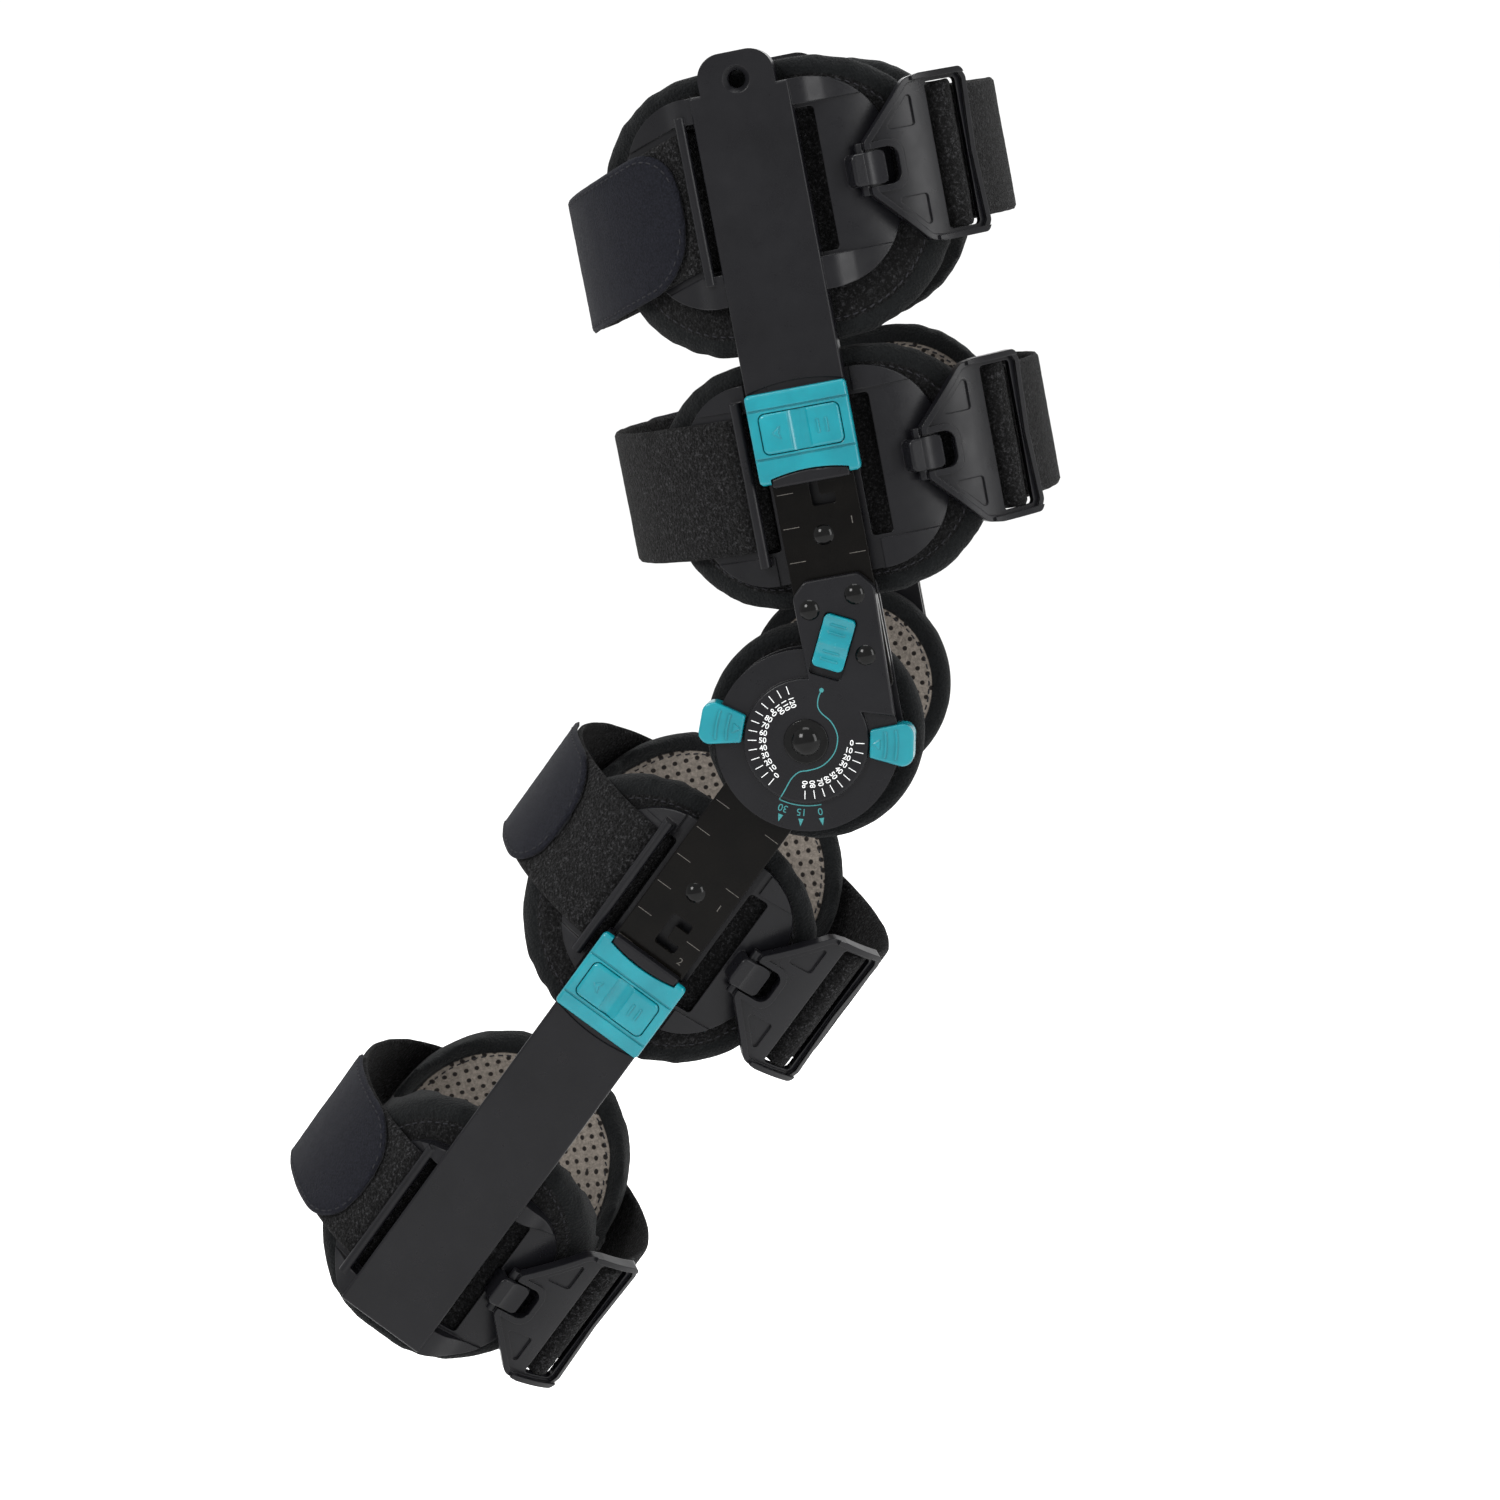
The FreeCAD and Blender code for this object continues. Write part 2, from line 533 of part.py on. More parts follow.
def clip_solid(c, bar_w, end_z, direction):
    """Lock housing over the mouth of a sleeve; direction points from the mouth into the sleeve."""
    bx = c["bar_x"]
    w0 = bar_w + BAR_THICK + SLEEVE_GAP + SLEEVE_WALL
    w1 = w0 + CLIP_THICK
    z0, z1 = sorted((end_z, end_z + direction * CLIP_HEIGHT))
    body = rect(bx - CLIP_HALF - 0.6, bx + CLIP_HALF + 0.6, z0, z1, 1.8, w0, w1)
    body = rounded_edges(body, 1.4, at_level(w1))
    mid = end_z + direction * 18.4
    window = rect(bx - 15.2, bx + 15.2, mid - 7.7, mid + 7.7, 2.6, w0 - 1, w1 + 1)
    mouth = Part.makeCylinder(MOUTH_ARC_R, 10, V(bx, w0 - 1, end_z - direction * MOUTH_ARC_FROM), V(0, 1, 0))
    mouth = mouth.common(box(bx - 14.6, bx + 14.6, w0 - 2, w1 + 2, z0 - 1, z1 + 1))
    body = cut(body, window, mouth)
    for sign in (-1, 1):
        z = mid + sign * 8.9
        body = cut(body, box(bx - 20, bx + 20, w1 - 0.6, w1 + 1, z - 0.4, z + 0.4))
    return body


BUTTON_TRAVEL = 1.2


def button_solid(c, bar_w, end_z, direction):
    """Thumb button in the lock housing with a shallow valley across its middle."""
    bx = c["bar_x"]
    w0 = bar_w + BAR_THICK + SLEEVE_GAP + SLEEVE_WALL
    w1 = w0 + CLIP_THICK + 0.9
    mid = end_z + direction * 18.4
    body = rect(bx - 14.9, bx + 14.9, mid - 7.4, mid + 7.4, 2.3, w0 + BUTTON_TRAVEL + 0.2, w1)
    body = rounded_edges(body, 1.1, at_level(w1))
    body = cut(body, Part.makeCylinder(5.0, 20, V(bx - 0.5, w1 + 3.3, mid - 10), V(0, 0, 1)))
    for i in range(2):
        x = bx + 6.4 + 3.2 * i
        body = fuse(body, rect(x - 0.4, x + 0.4, mid - 2.6, mid + 2.6, 0.35, w1 - 0.3, w1 + 0.35))
    arrow = [(bx - 10.6, mid), (bx - 7.6, mid - 2.4), (bx - 8.4, mid), (bx - 7.6, mid + 2.4)]
    body = fuse(body, prism(arrow, 0, w1 - 0.3, w1 + 0.35))
    tooth = rect(bx - 2.8, bx + 2.8, mid - 2.8, mid + 2.8, 0.8, w0 - SLEEVE_WALL + BUTTON_TRAVEL - 0.1,
                 w0 + BUTTON_TRAVEL + 0.4)
    return fuse(body, tooth)


def buckle_profile(r0, r1):
    """Bent plate in the hook's own frame: x along the buckle, y outwards, z along the hook bar."""
    plate = Part.makeCylinder(r1, 80, V(12, -BUCKLE_BEND_R + BUCKLE_PIVOT_LIFT, -40), V(0, 0, 1))
    return plate.cut(Part.makeCylinder(r0, 90, V(12, -BUCKLE_BEND_R + BUCKLE_PIVOT_LIFT, -45), V(0, 0, 1)))


def upright_plate(points, radii):
    """Outline given in (x, z) of the hook frame, cut through everything in y."""
    return prism(points, radii, -60, 60)


BUCKLE_RIM = 1.2           # raised edge of the buckle
BUCKLE_WALL = 2.4          # its side walls stand higher still


def buckle_solid():
    n = BUCKLE_PIVOT_LIFT
    wide = BUCKLE_WIDE
    end = BUCKLE_LENGTH
    corners = [(1.0, -BUCKLE_NARROW), (20, -wide + 1), (26, -wide), (end - 1, -wide), (end + 1.5, -wide + 4),
               (end, 0), (end + 1.5, wide - 4), (end - 1, wide), (26, wide), (20, wide - 1),
               (1.0, BUCKLE_NARROW)]
    radii = [3, 6, 4, 3, 3, 0, 3, 3, 4, 6, 3]
    face = outline(corners, radii)
    inner = face.makeOffset2D(-2.2)
    face.translate(V(0, -60, 0))
    inner.translate(V(0, -61, 0))
    whole = face.extrude(V(0, 120, 0))
    core = inner.extrude(V(0, 122, 0))
    r1 = BUCKLE_BEND_R + BUCKLE_THICK
    plate = buckle_profile(BUCKLE_BEND_R, r1).common(whole)
    edge = buckle_profile(r1 - 0.2, r1 + BUCKLE_RIM).common(whole).cut(core)
    surround = upright_plate([(0, -9.2), (15.4, -9.2), (15.4, 9.2), (0, 9.2)], [1, 5.5, 5.5, 1])
    collar = buckle_profile(r1 - 0.2, r1 + 1.0).common(surround).common(whole)
    plate = fuse(plate, edge, collar)
    for sign in (-1, 1):
        z = sorted((sign * 28.3, sign * 40))
        cheek = buckle_profile(r1 - 0.2, r1 + BUCKLE_WALL).common(whole)
        plate = fuse(plate, cheek.common(rect(23, 50, z[0], z[1], 0, -60, 60)))
    window = upright_plate([(-6, -6.8), (13, -6.8), (13, 6.8), (-6, 6.8)], [1, 4, 4, 1])
    slot = upright_plate([(28.5, -27), (42.5, -27), (42.5, 27), (28.5, 27)], 1.5)
    plate = cut(plate, window, slot)
    outer = buckle_profile(r1 - 0.9, r1 + 3)
    for sign in (-1, 1):
        pts = [(9.5, sign * 12.4), (22.0, sign * 25.2), (22.0, sign * 12.4)]
        plate = cut(plate, outer.common(upright_plate(pts, 1.2)))
    bar = Part.makeCylinder(1.9, 2 * BUCKLE_NARROW, V(0, n, -BUCKLE_NARROW), V(0, 0, 1))
    for sign in (-1, 1):
        z = sign * (BUCKLE_NARROW - 1.3)
        bar = fuse(bar, box(-1.0, 4.5, n - 1.4, n + 1.6, z - 1.3, z + 1.3))
    return fuse(plate, bar)


LOOP_U = 35.3              # hidden inner bar of the buckle, measured along the buckle
LOOP_TURN = math.atan2(LOOP_U - 12, math.sqrt((BUCKLE_BEND_R - 1.4) ** 2 - (LOOP_U - 12) ** 2))
TAIL_R = BUCKLE_BEND_R - 3.0
TAIL_ARC = 0.16


def buckle_loop_solid():
    """Webbing rolled over the hidden inner bar of the buckle, its tail leaving under the outer bar."""
    cy = -BUCKLE_BEND_R + BUCKLE_PIVOT_LIFT
    half = STRAP_WIDTH / 2
    roll_r = BUCKLE_BEND_R - 1.4
    x = 12 + roll_r * math.sin(LOOP_TURN)
    y = cy + roll_r * math.cos(LOOP_TURN)
    roll = Part.makeCylinder(4.6, 2 * half, V(x, y, -half), V(0, 0, 1))
    inner = Part.makeCylinder(2.4, 2 * half + 2, V(x, y, -half - 1), V(0, 0, 1))
    tail = Part.makeCylinder(TAIL_R + STRAP_THICK / 2, 2 * half, V(12, cy, -half), V(0, 0, 1))
    tail = tail.cut(Part.makeCylinder(TAIL_R - STRAP_THICK / 2, 90, V(12, cy, -45), V(0, 0, 1)))
    wedge_pts = [(12, cy)]
    for turn in (LOOP_TURN + 0.02, LOOP_TURN + TAIL_ARC):
        wedge_pts.append((12 + 90 * math.sin(turn), cy + 90 * math.cos(turn)))
    tail = tail.common(plan_prism(wedge_pts, -half - 1, half + 1))
    return fuse(roll.cut(inner), tail.cut(inner))


def tail_point(c, turn, r):
    """Plan point of the buckle tail on the lateral side."""
    x, w, slope = hook_frame(c)
    u = 12 + r * math.sin(turn)
    n = -BUCKLE_BEND_R + BUCKLE_PIVOT_LIFT + r * math.cos(turn)
    s = math.radians(slope)
    return x + u * math.cos(s) + n * math.sin(s), -(w - u * math.sin(s) + n * math.cos(s))


def under_level(c):
    """Outer face of the webbing where it lies behind the medial shell, between the shell's two slots."""
    edges = [side_level(c, c["bar_x"] + sign * SLOT_IN) for sign in (-1, 1)]
    return min(c["flat"], *edges) - SHELL_THICK - 0.3


def strap_slab(c, half=STRAP_WIDTH / 2):
    """Everything between the strap's two edges; behind the rods it may run down to the back of the leg."""
    z0 = c["strap_z"] - half
    z1 = c["strap_z"] + half
    start = c["bar_x"] - 27.0
    back = c["cx"] - c["a"] - 6.0
    drop = c.get("strap_drop", 0.0)
    lower = [(back, z0 - drop), (start, z0), (300, z0)]
    upper = [(300, z1), (start, z1), (back, z1 - drop)]
    return prism(lower + upper, 0, -200, 200)


TURN_IN = 19.6             # the webbing lies flat behind the medial shell this far either side of the upright
TURN_OUT = SLOT_OUT - 0.3  # and is back on the outside of the shell from here on


def strap_solid(c):
    """Webbing from the lateral rear slot, round the back, through the medial shell between its two
    slots, and round the front to just short of the buckle."""
    bx = c["bar_x"]
    cx = c["cx"]
    half = STRAP_WIDTH / 2
    z0 = c["strap_z"] - half
    z1 = c["strap_z"] + half
    lift = STRAP_LIFT
    t = STRAP_THICK
    loop = band(cx, c["a"] + lift, c["b"] + lift, t, z0 - 30, z1 + 30).common(strap_slab(c))
    end = (c["a"] + lift, c["b"] + lift)
    p0 = tail_point(c, LOOP_TURN + TAIL_ARC + 0.02, TAIL_R - t / 2)
    p1 = tail_point(c, LOOP_TURN + TAIL_ARC + 0.02, TAIL_R + t / 2)
    meet = math.atan2(p0[1] / end[1], (p0[0] - cx) / end[0]) + 0.26
    ray = math.atan2(end[1] * math.sin(meet), end[0] * math.cos(meet))
    far = (cx + 400 * math.cos(ray), 400 * math.sin(ray))
    gap = plan_prism([(bx - TURN_OUT, 0), (cx, 0), far, (far[0], -400), (bx - TURN_OUT, -400)], z0 - 40, z1 + 40)
    loop = cut(loop, gap, box(bx - TURN_OUT, bx + TURN_OUT, 0, 200, z0 - 40, z1 + 40))
    f1 = under_level(c)
    f0 = f1 - t
    pieces = [loop, box(bx - TURN_IN, bx + TURN_IN, f0, f1, z0, z1)]
    for sign in (-1, 1):
        s0 = side_level(c, bx + sign * TURN_OUT, lift)
        s1 = side_level(c, bx + sign * TURN_OUT, lift + t)
        out = bx + sign * TURN_OUT
        inn = bx + sign * TURN_IN
        quad = [(out, s0), (out, s1), (inn, f1), (inn, f0)]
        pieces.append(plan_prism(quad, z0, z1))
    s0 = side_level(c, bx - TURN_OUT, lift)
    s1 = side_level(c, bx - TURN_OUT, lift + t)
    quad = [(bx - TURN_OUT, -s0), (bx - TURN_OUT, -s1), (bx - 18.5, -f1 - 0.6), (bx - 18.5, -f0 - 0.6)]
    pieces.append(plan_prism(quad, z0, z1))
    q = []
    for grow in (lift, lift + t):
        q.append((cx + (c["a"] + grow) * math.cos(meet + 0.02), (c["b"] + grow) * math.sin(meet + 0.02)))
    pieces.append(plan_prism([q[0], q[1], p1, p0], z0, z1))
    return fuse(*pieces)


def tab_solid(c, from_deg, to_deg):
    """Hook tab lying on the outside of the folded strap end; angles run round the cuff."""
    lift = STRAP_LIFT + STRAP_THICK + 0.3
    z0 = c["strap_z"] - STRAP_WIDTH / 2
    z1 = c["strap_z"] + STRAP_WIDTH / 2
    ring = band(c["cx"], c["a"] + lift, c["b"] + lift, TAB_THICK, z0 - 30, z1 + 30).common(strap_slab(c))
    return ring.common(sector(c["cx"], from_deg, to_deg, z0 - 40, z1 + 40))


TAB_THICK = 2.0
TABS = {"thigh_top": (-112, -168), "thigh_low": (165, 120),
        "calf_high": (-137, -178), "calf_low": (-120, -168)}


def make_cuffs():
    for name, c in CUFFS.items():
        calf = name.startswith("calf")
        turn = bent if calf else (lambda s: s)
        bar_w = CALF_BAR_W if calf else THIGH_BAR_W
        pad = pad_solid(c)
        if name == "thigh_low":
            spacer = disc(5.2, c["flat"] - 0.2, THIGH_BAR_W, THIGH_AXIS_X, RIVET_FROM_KNEE)
            bore = disc(1.9, 60, 90, THIGH_AXIS_X, RIVET_FROM_KNEE)
            both("thigh_low_shell", cut(fuse(shell_solid(c), spacer), bore),
                 medial=cut(fuse(shell_solid(c, hook=False), spacer), bore))
            pad = cut(pad, box(THIGH_AXIS_X - 16.5, THIGH_AXIS_X + 16.5, BACK_PLATE[0] - 0.3, 90, 40, 57.5))
        elif name == "calf_high":
            spacer = disc(5.2, c["flat"] - 0.2, CALF_BAR_W, 0, -RIVET_FROM_KNEE)
            bore = disc(1.9, 60, 90, 0, -RIVET_FROM_KNEE)
            both("calf_high_shell", cut(fuse(shell_solid(c), spacer), bore), calf=True,
                 medial=cut(fuse(shell_solid(c, hook=False), spacer), bore))
        elif name == "thigh_top":
            bx = c["bar_x"]
            tab = rect(bx - 14.0, bx + 14.0, 230, 251, [0, 0, 9, 9], c["flat"] - 2.4, 80.3)
            hole = disc(3.2, 60, 90, bx, 241.0)
            sink = Part.makeCone(3.2, 5.0, 1.8, V(bx, 78.5, 241.0), V(0, 1, 0))
            sleeves = []
            for hook in (True, False):
                sleeve = sleeve_solid(c, bar_w, 95.0, 237.5, 1, hook)
                sleeves.append(cut(fuse(sleeve, tab), hole, sink))
            both("thigh_sleeve", sleeves[0], medial=sleeves[1])
            both("thigh_clip", clip_solid(c, bar_w, 95.0, 1))
            both("thigh_button", button_solid(c, bar_w, 95.0, 1))
        else:
            sleeves = [sleeve_solid(c, bar_w, -284.5, -104.5, -1, hook) for hook in (True, False)]
            both("calf_sleeve", sleeves[0], calf=True, medial=sleeves[1])
            both("calf_clip", clip_solid(c, bar_w, -104.5, -1), calf=True)
            both("calf_button", button_solid(c, bar_w, -104.5, -1), calf=True)
        both(name + "_pad", pad, calf=calf)
        PIECES[name + "_strap"] = turn(strap_solid(c))
        PIECES[name + "_tab"] = turn(tab_solid(c, *TABS[name]))
        PIECES[name + "_buckle"] = turn(mirrored(on_hook(buckle_solid(), c)))
        PIECES[name + "_loop"] = turn(mirrored(on_hook(buckle_loop_solid(), c)))


# ---- build ----
make_uprights()
make_hinge()
both("flexion_stop", stop_block(FLEX_STOP_ANGLE))
both("extension_stop", stop_block(EXT_STOP_ANGLE))
make_cuffs()

os.makedirs("parts", exist_ok=True)
for name in sorted(PIECES):
    shape = PIECES[name]
    shape.exportStep("parts/" + name + ".step")
    box_ = shape.BoundBox
    solids = len(shape.Solids)
    print(name, "solids", solids, "valid", shape.isValid(), "volume", round(shape.Volume, 1),
          [round(v, 1) for v in (box_.XMin, box_.YMin, box_.ZMin, box_.XMax, box_.YMax, box_.ZMax)])
print("pieces", len(PIECES))
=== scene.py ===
"""Looks of the hinged knee brace: fabric, webbing, prints, materials, studio and camera.

Metres in the row frame: +Z up the thigh uprights, +X to the front of the leg, -Y lateral.
Calf pieces are built for the straight leg and turned about the knee axis to the resting flexion.
"""

import json
import math

import bmesh
import bpy
import numpy as np
from mathutils import Matrix, Vector, noise
from mathutils.bvhtree import BVHTree


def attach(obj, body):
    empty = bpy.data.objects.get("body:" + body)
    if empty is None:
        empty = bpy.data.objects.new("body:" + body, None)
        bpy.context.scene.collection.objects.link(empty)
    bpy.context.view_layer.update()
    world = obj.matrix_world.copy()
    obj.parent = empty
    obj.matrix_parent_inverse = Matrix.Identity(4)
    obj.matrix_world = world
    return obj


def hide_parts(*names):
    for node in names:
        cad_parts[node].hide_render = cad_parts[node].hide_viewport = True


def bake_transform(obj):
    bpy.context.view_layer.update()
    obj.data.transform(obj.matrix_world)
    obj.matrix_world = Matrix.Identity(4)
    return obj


MM = 0.001
REST_FLEXION = math.radians(46.5)

THIGH_BAR_FRONT = 78.0
CALF_BAR_FRONT = 73.9
COVER_FRONT = 83.2
RING_FRONT = 81.2
THIGH_AXIS_X = 20.0
BAR_WIDTH = 30.4

SHELL_THICK = 2.4
SLOT_IN = 17.0
STRAP_WIDTH = 50.0
STRAP_THICK = 1.8
STRAP_LIFT = 0.5
STRAP_LEAVES = 27.0
SHELL_GAP = 0.3
TAB_THICK = 2.0

# The same ellipses and outlines that the cuffs have in the CAD.
CUFFS = {
    "thigh_top": dict(body="thigh_slider", bar_x=20.0, cx=23.0, a=80.0, b=77.0,
                      flat=74.7, strap_z=200.5, drop=17.0, shell=(-49.0, 48.5, 161.0, 237.5), shell_r=27.0,
                      pad=(-62.0, 66.0, 142.0, 245.0), pad_r=46.0, hook_x=37.0, tab=(-112, -168)),
    "thigh_low": dict(body="thigh_frame", bar_x=20.0, cx=21.0, a=80.0, b=75.0,
                      flat=72.0, strap_z=95.5, shell=(-47.5, 47.0, 57.0, 132.0), shell_r=27.0,
                      pad=(-60.0, 64.0, 47.5, 139.0), pad_r=43.0, hook_x=38.0, tab=(165, 120)),
    "calf_high": dict(body="calf_frame", bar_x=0.0, cx=0.0, a=72.0, b=70.0,
                      flat=67.9, strap_z=-88.5, shell=(-40.0, 40.5, -126.5, -51.5), shell_r=27.0,
                      pad=(-59.0, 53.0, -143.0, -43.5), pad_r=46.0, hook_x=31.0, tab=(-137, -178)),
    "calf_low": dict(body="calf_slider", bar_x=0.0, cx=0.0, a=66.0, b=72.0,
                     flat=70.6, strap_z=-246.0, shell=(-36.0, 41.0, -284.5, -211.0), shell_r=25.0,
                     pad=(-50.0, 52.0, -291.0, -194.0), pad_r=44.0, hook_x=29.0, tab=(-120, -168)),
}
for _name, _cuff in CUFFS.items():
    _cuff["calf"] = _name.startswith("calf")
    _cuff["buckle_body"] = _name + "_buckle"

# A buckle's plate is bent round a centre at (BEND_U, BEND_N) in its hook's frame, with BUCKLE_BEND_R
# as the inner radius. The loop's webbing rolls at LOOP_R and its tail leaves at TAIL_R.
BUCKLE_BEND_R = 60.0
BUCKLE_PIVOT_LIFT = 3.4
BEND_U = 12
BEND_N = -BUCKLE_BEND_R + BUCKLE_PIVOT_LIFT
LOOP_U = 35.3
LOOP_R = BUCKLE_BEND_R - 1.4
LOOP_TURN = math.atan2(LOOP_U - BEND_U, math.sqrt(LOOP_R ** 2 - (LOOP_U - BEND_U) ** 2))
TAIL_R = BUCKLE_BEND_R - 3.0
TAIL_ARC = 0.16
ROLL_R = 3.9
ROLL_ARC = 0.085
TAB_END = 20.0
TAB_SEAM = 2.2
TAB_STEP = 0.8
TAB_PITCH = 3.2

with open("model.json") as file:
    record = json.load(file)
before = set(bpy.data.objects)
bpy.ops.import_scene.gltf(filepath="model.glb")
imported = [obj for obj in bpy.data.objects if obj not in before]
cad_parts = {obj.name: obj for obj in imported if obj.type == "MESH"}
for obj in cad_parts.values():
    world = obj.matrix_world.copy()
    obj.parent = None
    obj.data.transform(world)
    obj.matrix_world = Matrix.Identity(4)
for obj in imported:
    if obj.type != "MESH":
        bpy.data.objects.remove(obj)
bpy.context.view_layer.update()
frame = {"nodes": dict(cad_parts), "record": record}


# ---------------------------------------------------------------- placing
def bend_leg(calf):
    """Straight-leg millimetres to row-frame metres."""
    turn = Matrix.Rotation(REST_FLEXION, 4, "Y") if calf else Matrix.Identity(4)
    return turn @ Matrix.Scale(MM, 4)


def side_level(c, x, lift=0.0):
    u = (x - c["cx"]) / (c["a"] + lift)
    return (c["b"] + lift) * math.sqrt(max(0.0, 1 - u * u))


def under_level(c):
    """Outer face of the webbing where it lies behind the medial shell."""
    edges = [side_level(c, c["bar_x"] + sign * SLOT_IN) for sign in (-1, 1)]
    return min(c["flat"], *edges) - SHELL_THICK - SHELL_GAP


def strap_mid(c, x):
    """Height of the webbing's centre line; behind the rods it may run down to the back of the leg."""
    start = c["bar_x"] - STRAP_LEAVES
    back = c["cx"] - c["a"] - 6.0
    run = max(0.0, min(1.0, (start - x) / (start - back)))
    return c["strap_z"] - c.get("drop", 0.0) * run


def box_distance(x, z, box, r):
    """Signed distance to a rectangle with rounded corners, negative inside."""
    x0, x1, z0, z1 = box
    qx = abs(x - (x0 + x1) / 2) - (x1 - x0) / 2 + r
    qz = abs(z - (z0 + z1) / 2) - (z1 - z0) / 2 + r
    return math.hypot(max(qx, 0), max(qz, 0)) + min(max(qx, qz), 0) - r


def mesh_object(name, verts, faces, matrix=None, smooth=True):
    mesh = bpy.data.meshes.new(name)
    mesh.from_pydata([tuple(v) for v in verts], [], faces)
    mesh.update()
    if matrix is not None:
        mesh.transform(matrix)
    for poly in mesh.polygons:
        poly.use_smooth = smooth
    obj = bpy.data.objects.new(name, mesh)
    bpy.context.scene.collection.objects.link(obj)
    return obj


def finish_piece(obj, body, material, nodes=()):
    obj.data.materials.clear()
    obj.data.materials.append(material)
    if nodes:
        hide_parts(*nodes)
    if body:
        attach(obj, body)
    return obj


def evaluated_mesh(obj):
    bpy.context.view_layer.update()
    graph = bpy.context.evaluated_depsgraph_get()
    return bpy.data.meshes.new_from_object(obj.evaluated_get(graph))


# ---------------------------------------------------------------- materials
class Look:
    """A node material around one Principled shader."""

    def __init__(self, name, base, roughness, **fixed):
        self.mat = bpy.data.materials.new(name)
        self.mat.use_nodes = True
        self.nodes = self.mat.node_tree.nodes
        self.links = self.mat.node_tree.links
        self.shader = self.nodes["Principled BSDF"]
        self.shader.inputs["Base Color"].default_value = (*base, 1)
        self.shader.inputs["Roughness"].default_value = roughness
        for key, value in fixed.items():
            self.shader.inputs[key.replace("_", " ")].default_value = value
        self.coords = self.nodes.new("ShaderNodeTexCoord")
        self.height = None

    def noise(self, scale, detail=3.0, rough=0.5):
        node = self.nodes.new("ShaderNodeTexNoise")
        node.inputs["Scale"].default_value = scale
        node.inputs["Detail"].default_value = detail
        node.inputs["Roughness"].default_value = rough
        self.links.new(self.coords.outputs["Object"], node.inputs["Vector"])
        return node.outputs["Fac"]

    def cells(self, scale):
        node = self.nodes.new("ShaderNodeTexVoronoi")
        node.inputs["Scale"].default_value = scale
        self.links.new(self.coords.outputs["Object"], node.inputs["Vector"])
        return node.outputs["Distance"]

    def lattice(self, first, second, pitch):
        """Distance to the nearest point of a diagonal grid laid over two stored lengths in mm."""
        join = self.nodes.new("ShaderNodeCombineXYZ")
        self.links.new(self.attribute(first), join.inputs["X"])
        self.links.new(self.attribute(second), join.inputs["Y"])
        turn = self.nodes.new("ShaderNodeMapping")
        turn.inputs["Rotation"].default_value = (0, 0, math.radians(40))
        self.links.new(join.outputs["Vector"], turn.inputs["Vector"])
        node = self.nodes.new("ShaderNodeTexVoronoi")
        node.voronoi_dimensions = "2D"
        node.inputs["Scale"].default_value = 1 / pitch
        node.inputs["Randomness"].default_value = 0.06
        self.links.new(turn.outputs["Vector"], node.inputs["Vector"])
        return node.outputs["Distance"]

    def attribute(self, name):
        node = self.nodes.new("ShaderNodeAttribute")
        node.attribute_name = name
        return node.outputs["Fac"]

    def ramp(self, value, *stops):
        node = self.nodes.new("ShaderNodeValToRGB")
        ramp = node.color_ramp
        while len(ramp.elements) < len(stops):
            ramp.elements.new(0.5)
        for element, (place, colour) in zip(ramp.elements, stops):
            element.position = place
            if not isinstance(colour, tuple):
                colour = (colour, colour, colour)
            element.color = (*colour, 1)
        self.links.new(value, node.inputs["Fac"])
        return node.outputs["Color"]

    def mix(self, factor, first, second):
        node = self.nodes.new("ShaderNodeMix")
        node.data_type = "RGBA"
        self.links.new(factor, node.inputs["Factor"])
        self.links.new(first, node.inputs["A"])
        self.links.new(second, node.inputs["B"])
        return node.outputs["Result"]

    def product(self, first, second):
        node = self.nodes.new("ShaderNodeMath")
        node.operation = "MULTIPLY"
        self.links.new(first, node.inputs[0])
        self.links.new(second, node.inputs[1])
        return node.outputs["Value"]

    def colour(self, socket):
        self.links.new(socket, self.shader.inputs["Base Color"])
        return self

    def rough(self, socket):
        self.links.new(socket, self.shader.inputs["Roughness"])
        return self

    def edges(self, radius):
        """Softens the shading of sharp edges; the first bump of the chain takes it as its normal."""
        node = self.nodes.new("ShaderNodeBevel")
        node.samples = 6
        node.inputs["Radius"].default_value = radius
        bumps = [n for n in self.nodes if n.bl_idname == "ShaderNodeBump"]
        first = next(n for n in bumps if not n.inputs["Normal"].is_linked)
        self.links.new(node.outputs["Normal"], first.inputs["Normal"])
        return self

    def bump(self, socket, strength, distance):
        node = self.nodes.new("ShaderNodeBump")
        node.inputs["Strength"].default_value = strength
        node.inputs["Distance"].default_value = distance
        self.links.new(socket, node.inputs["Height"])
        if self.height is not None:
            self.links.new(self.height, node.inputs["Normal"])
        self.height = node.outputs["Normal"]
        self.links.new(self.height, self.shader.inputs["Normal"])
        return self


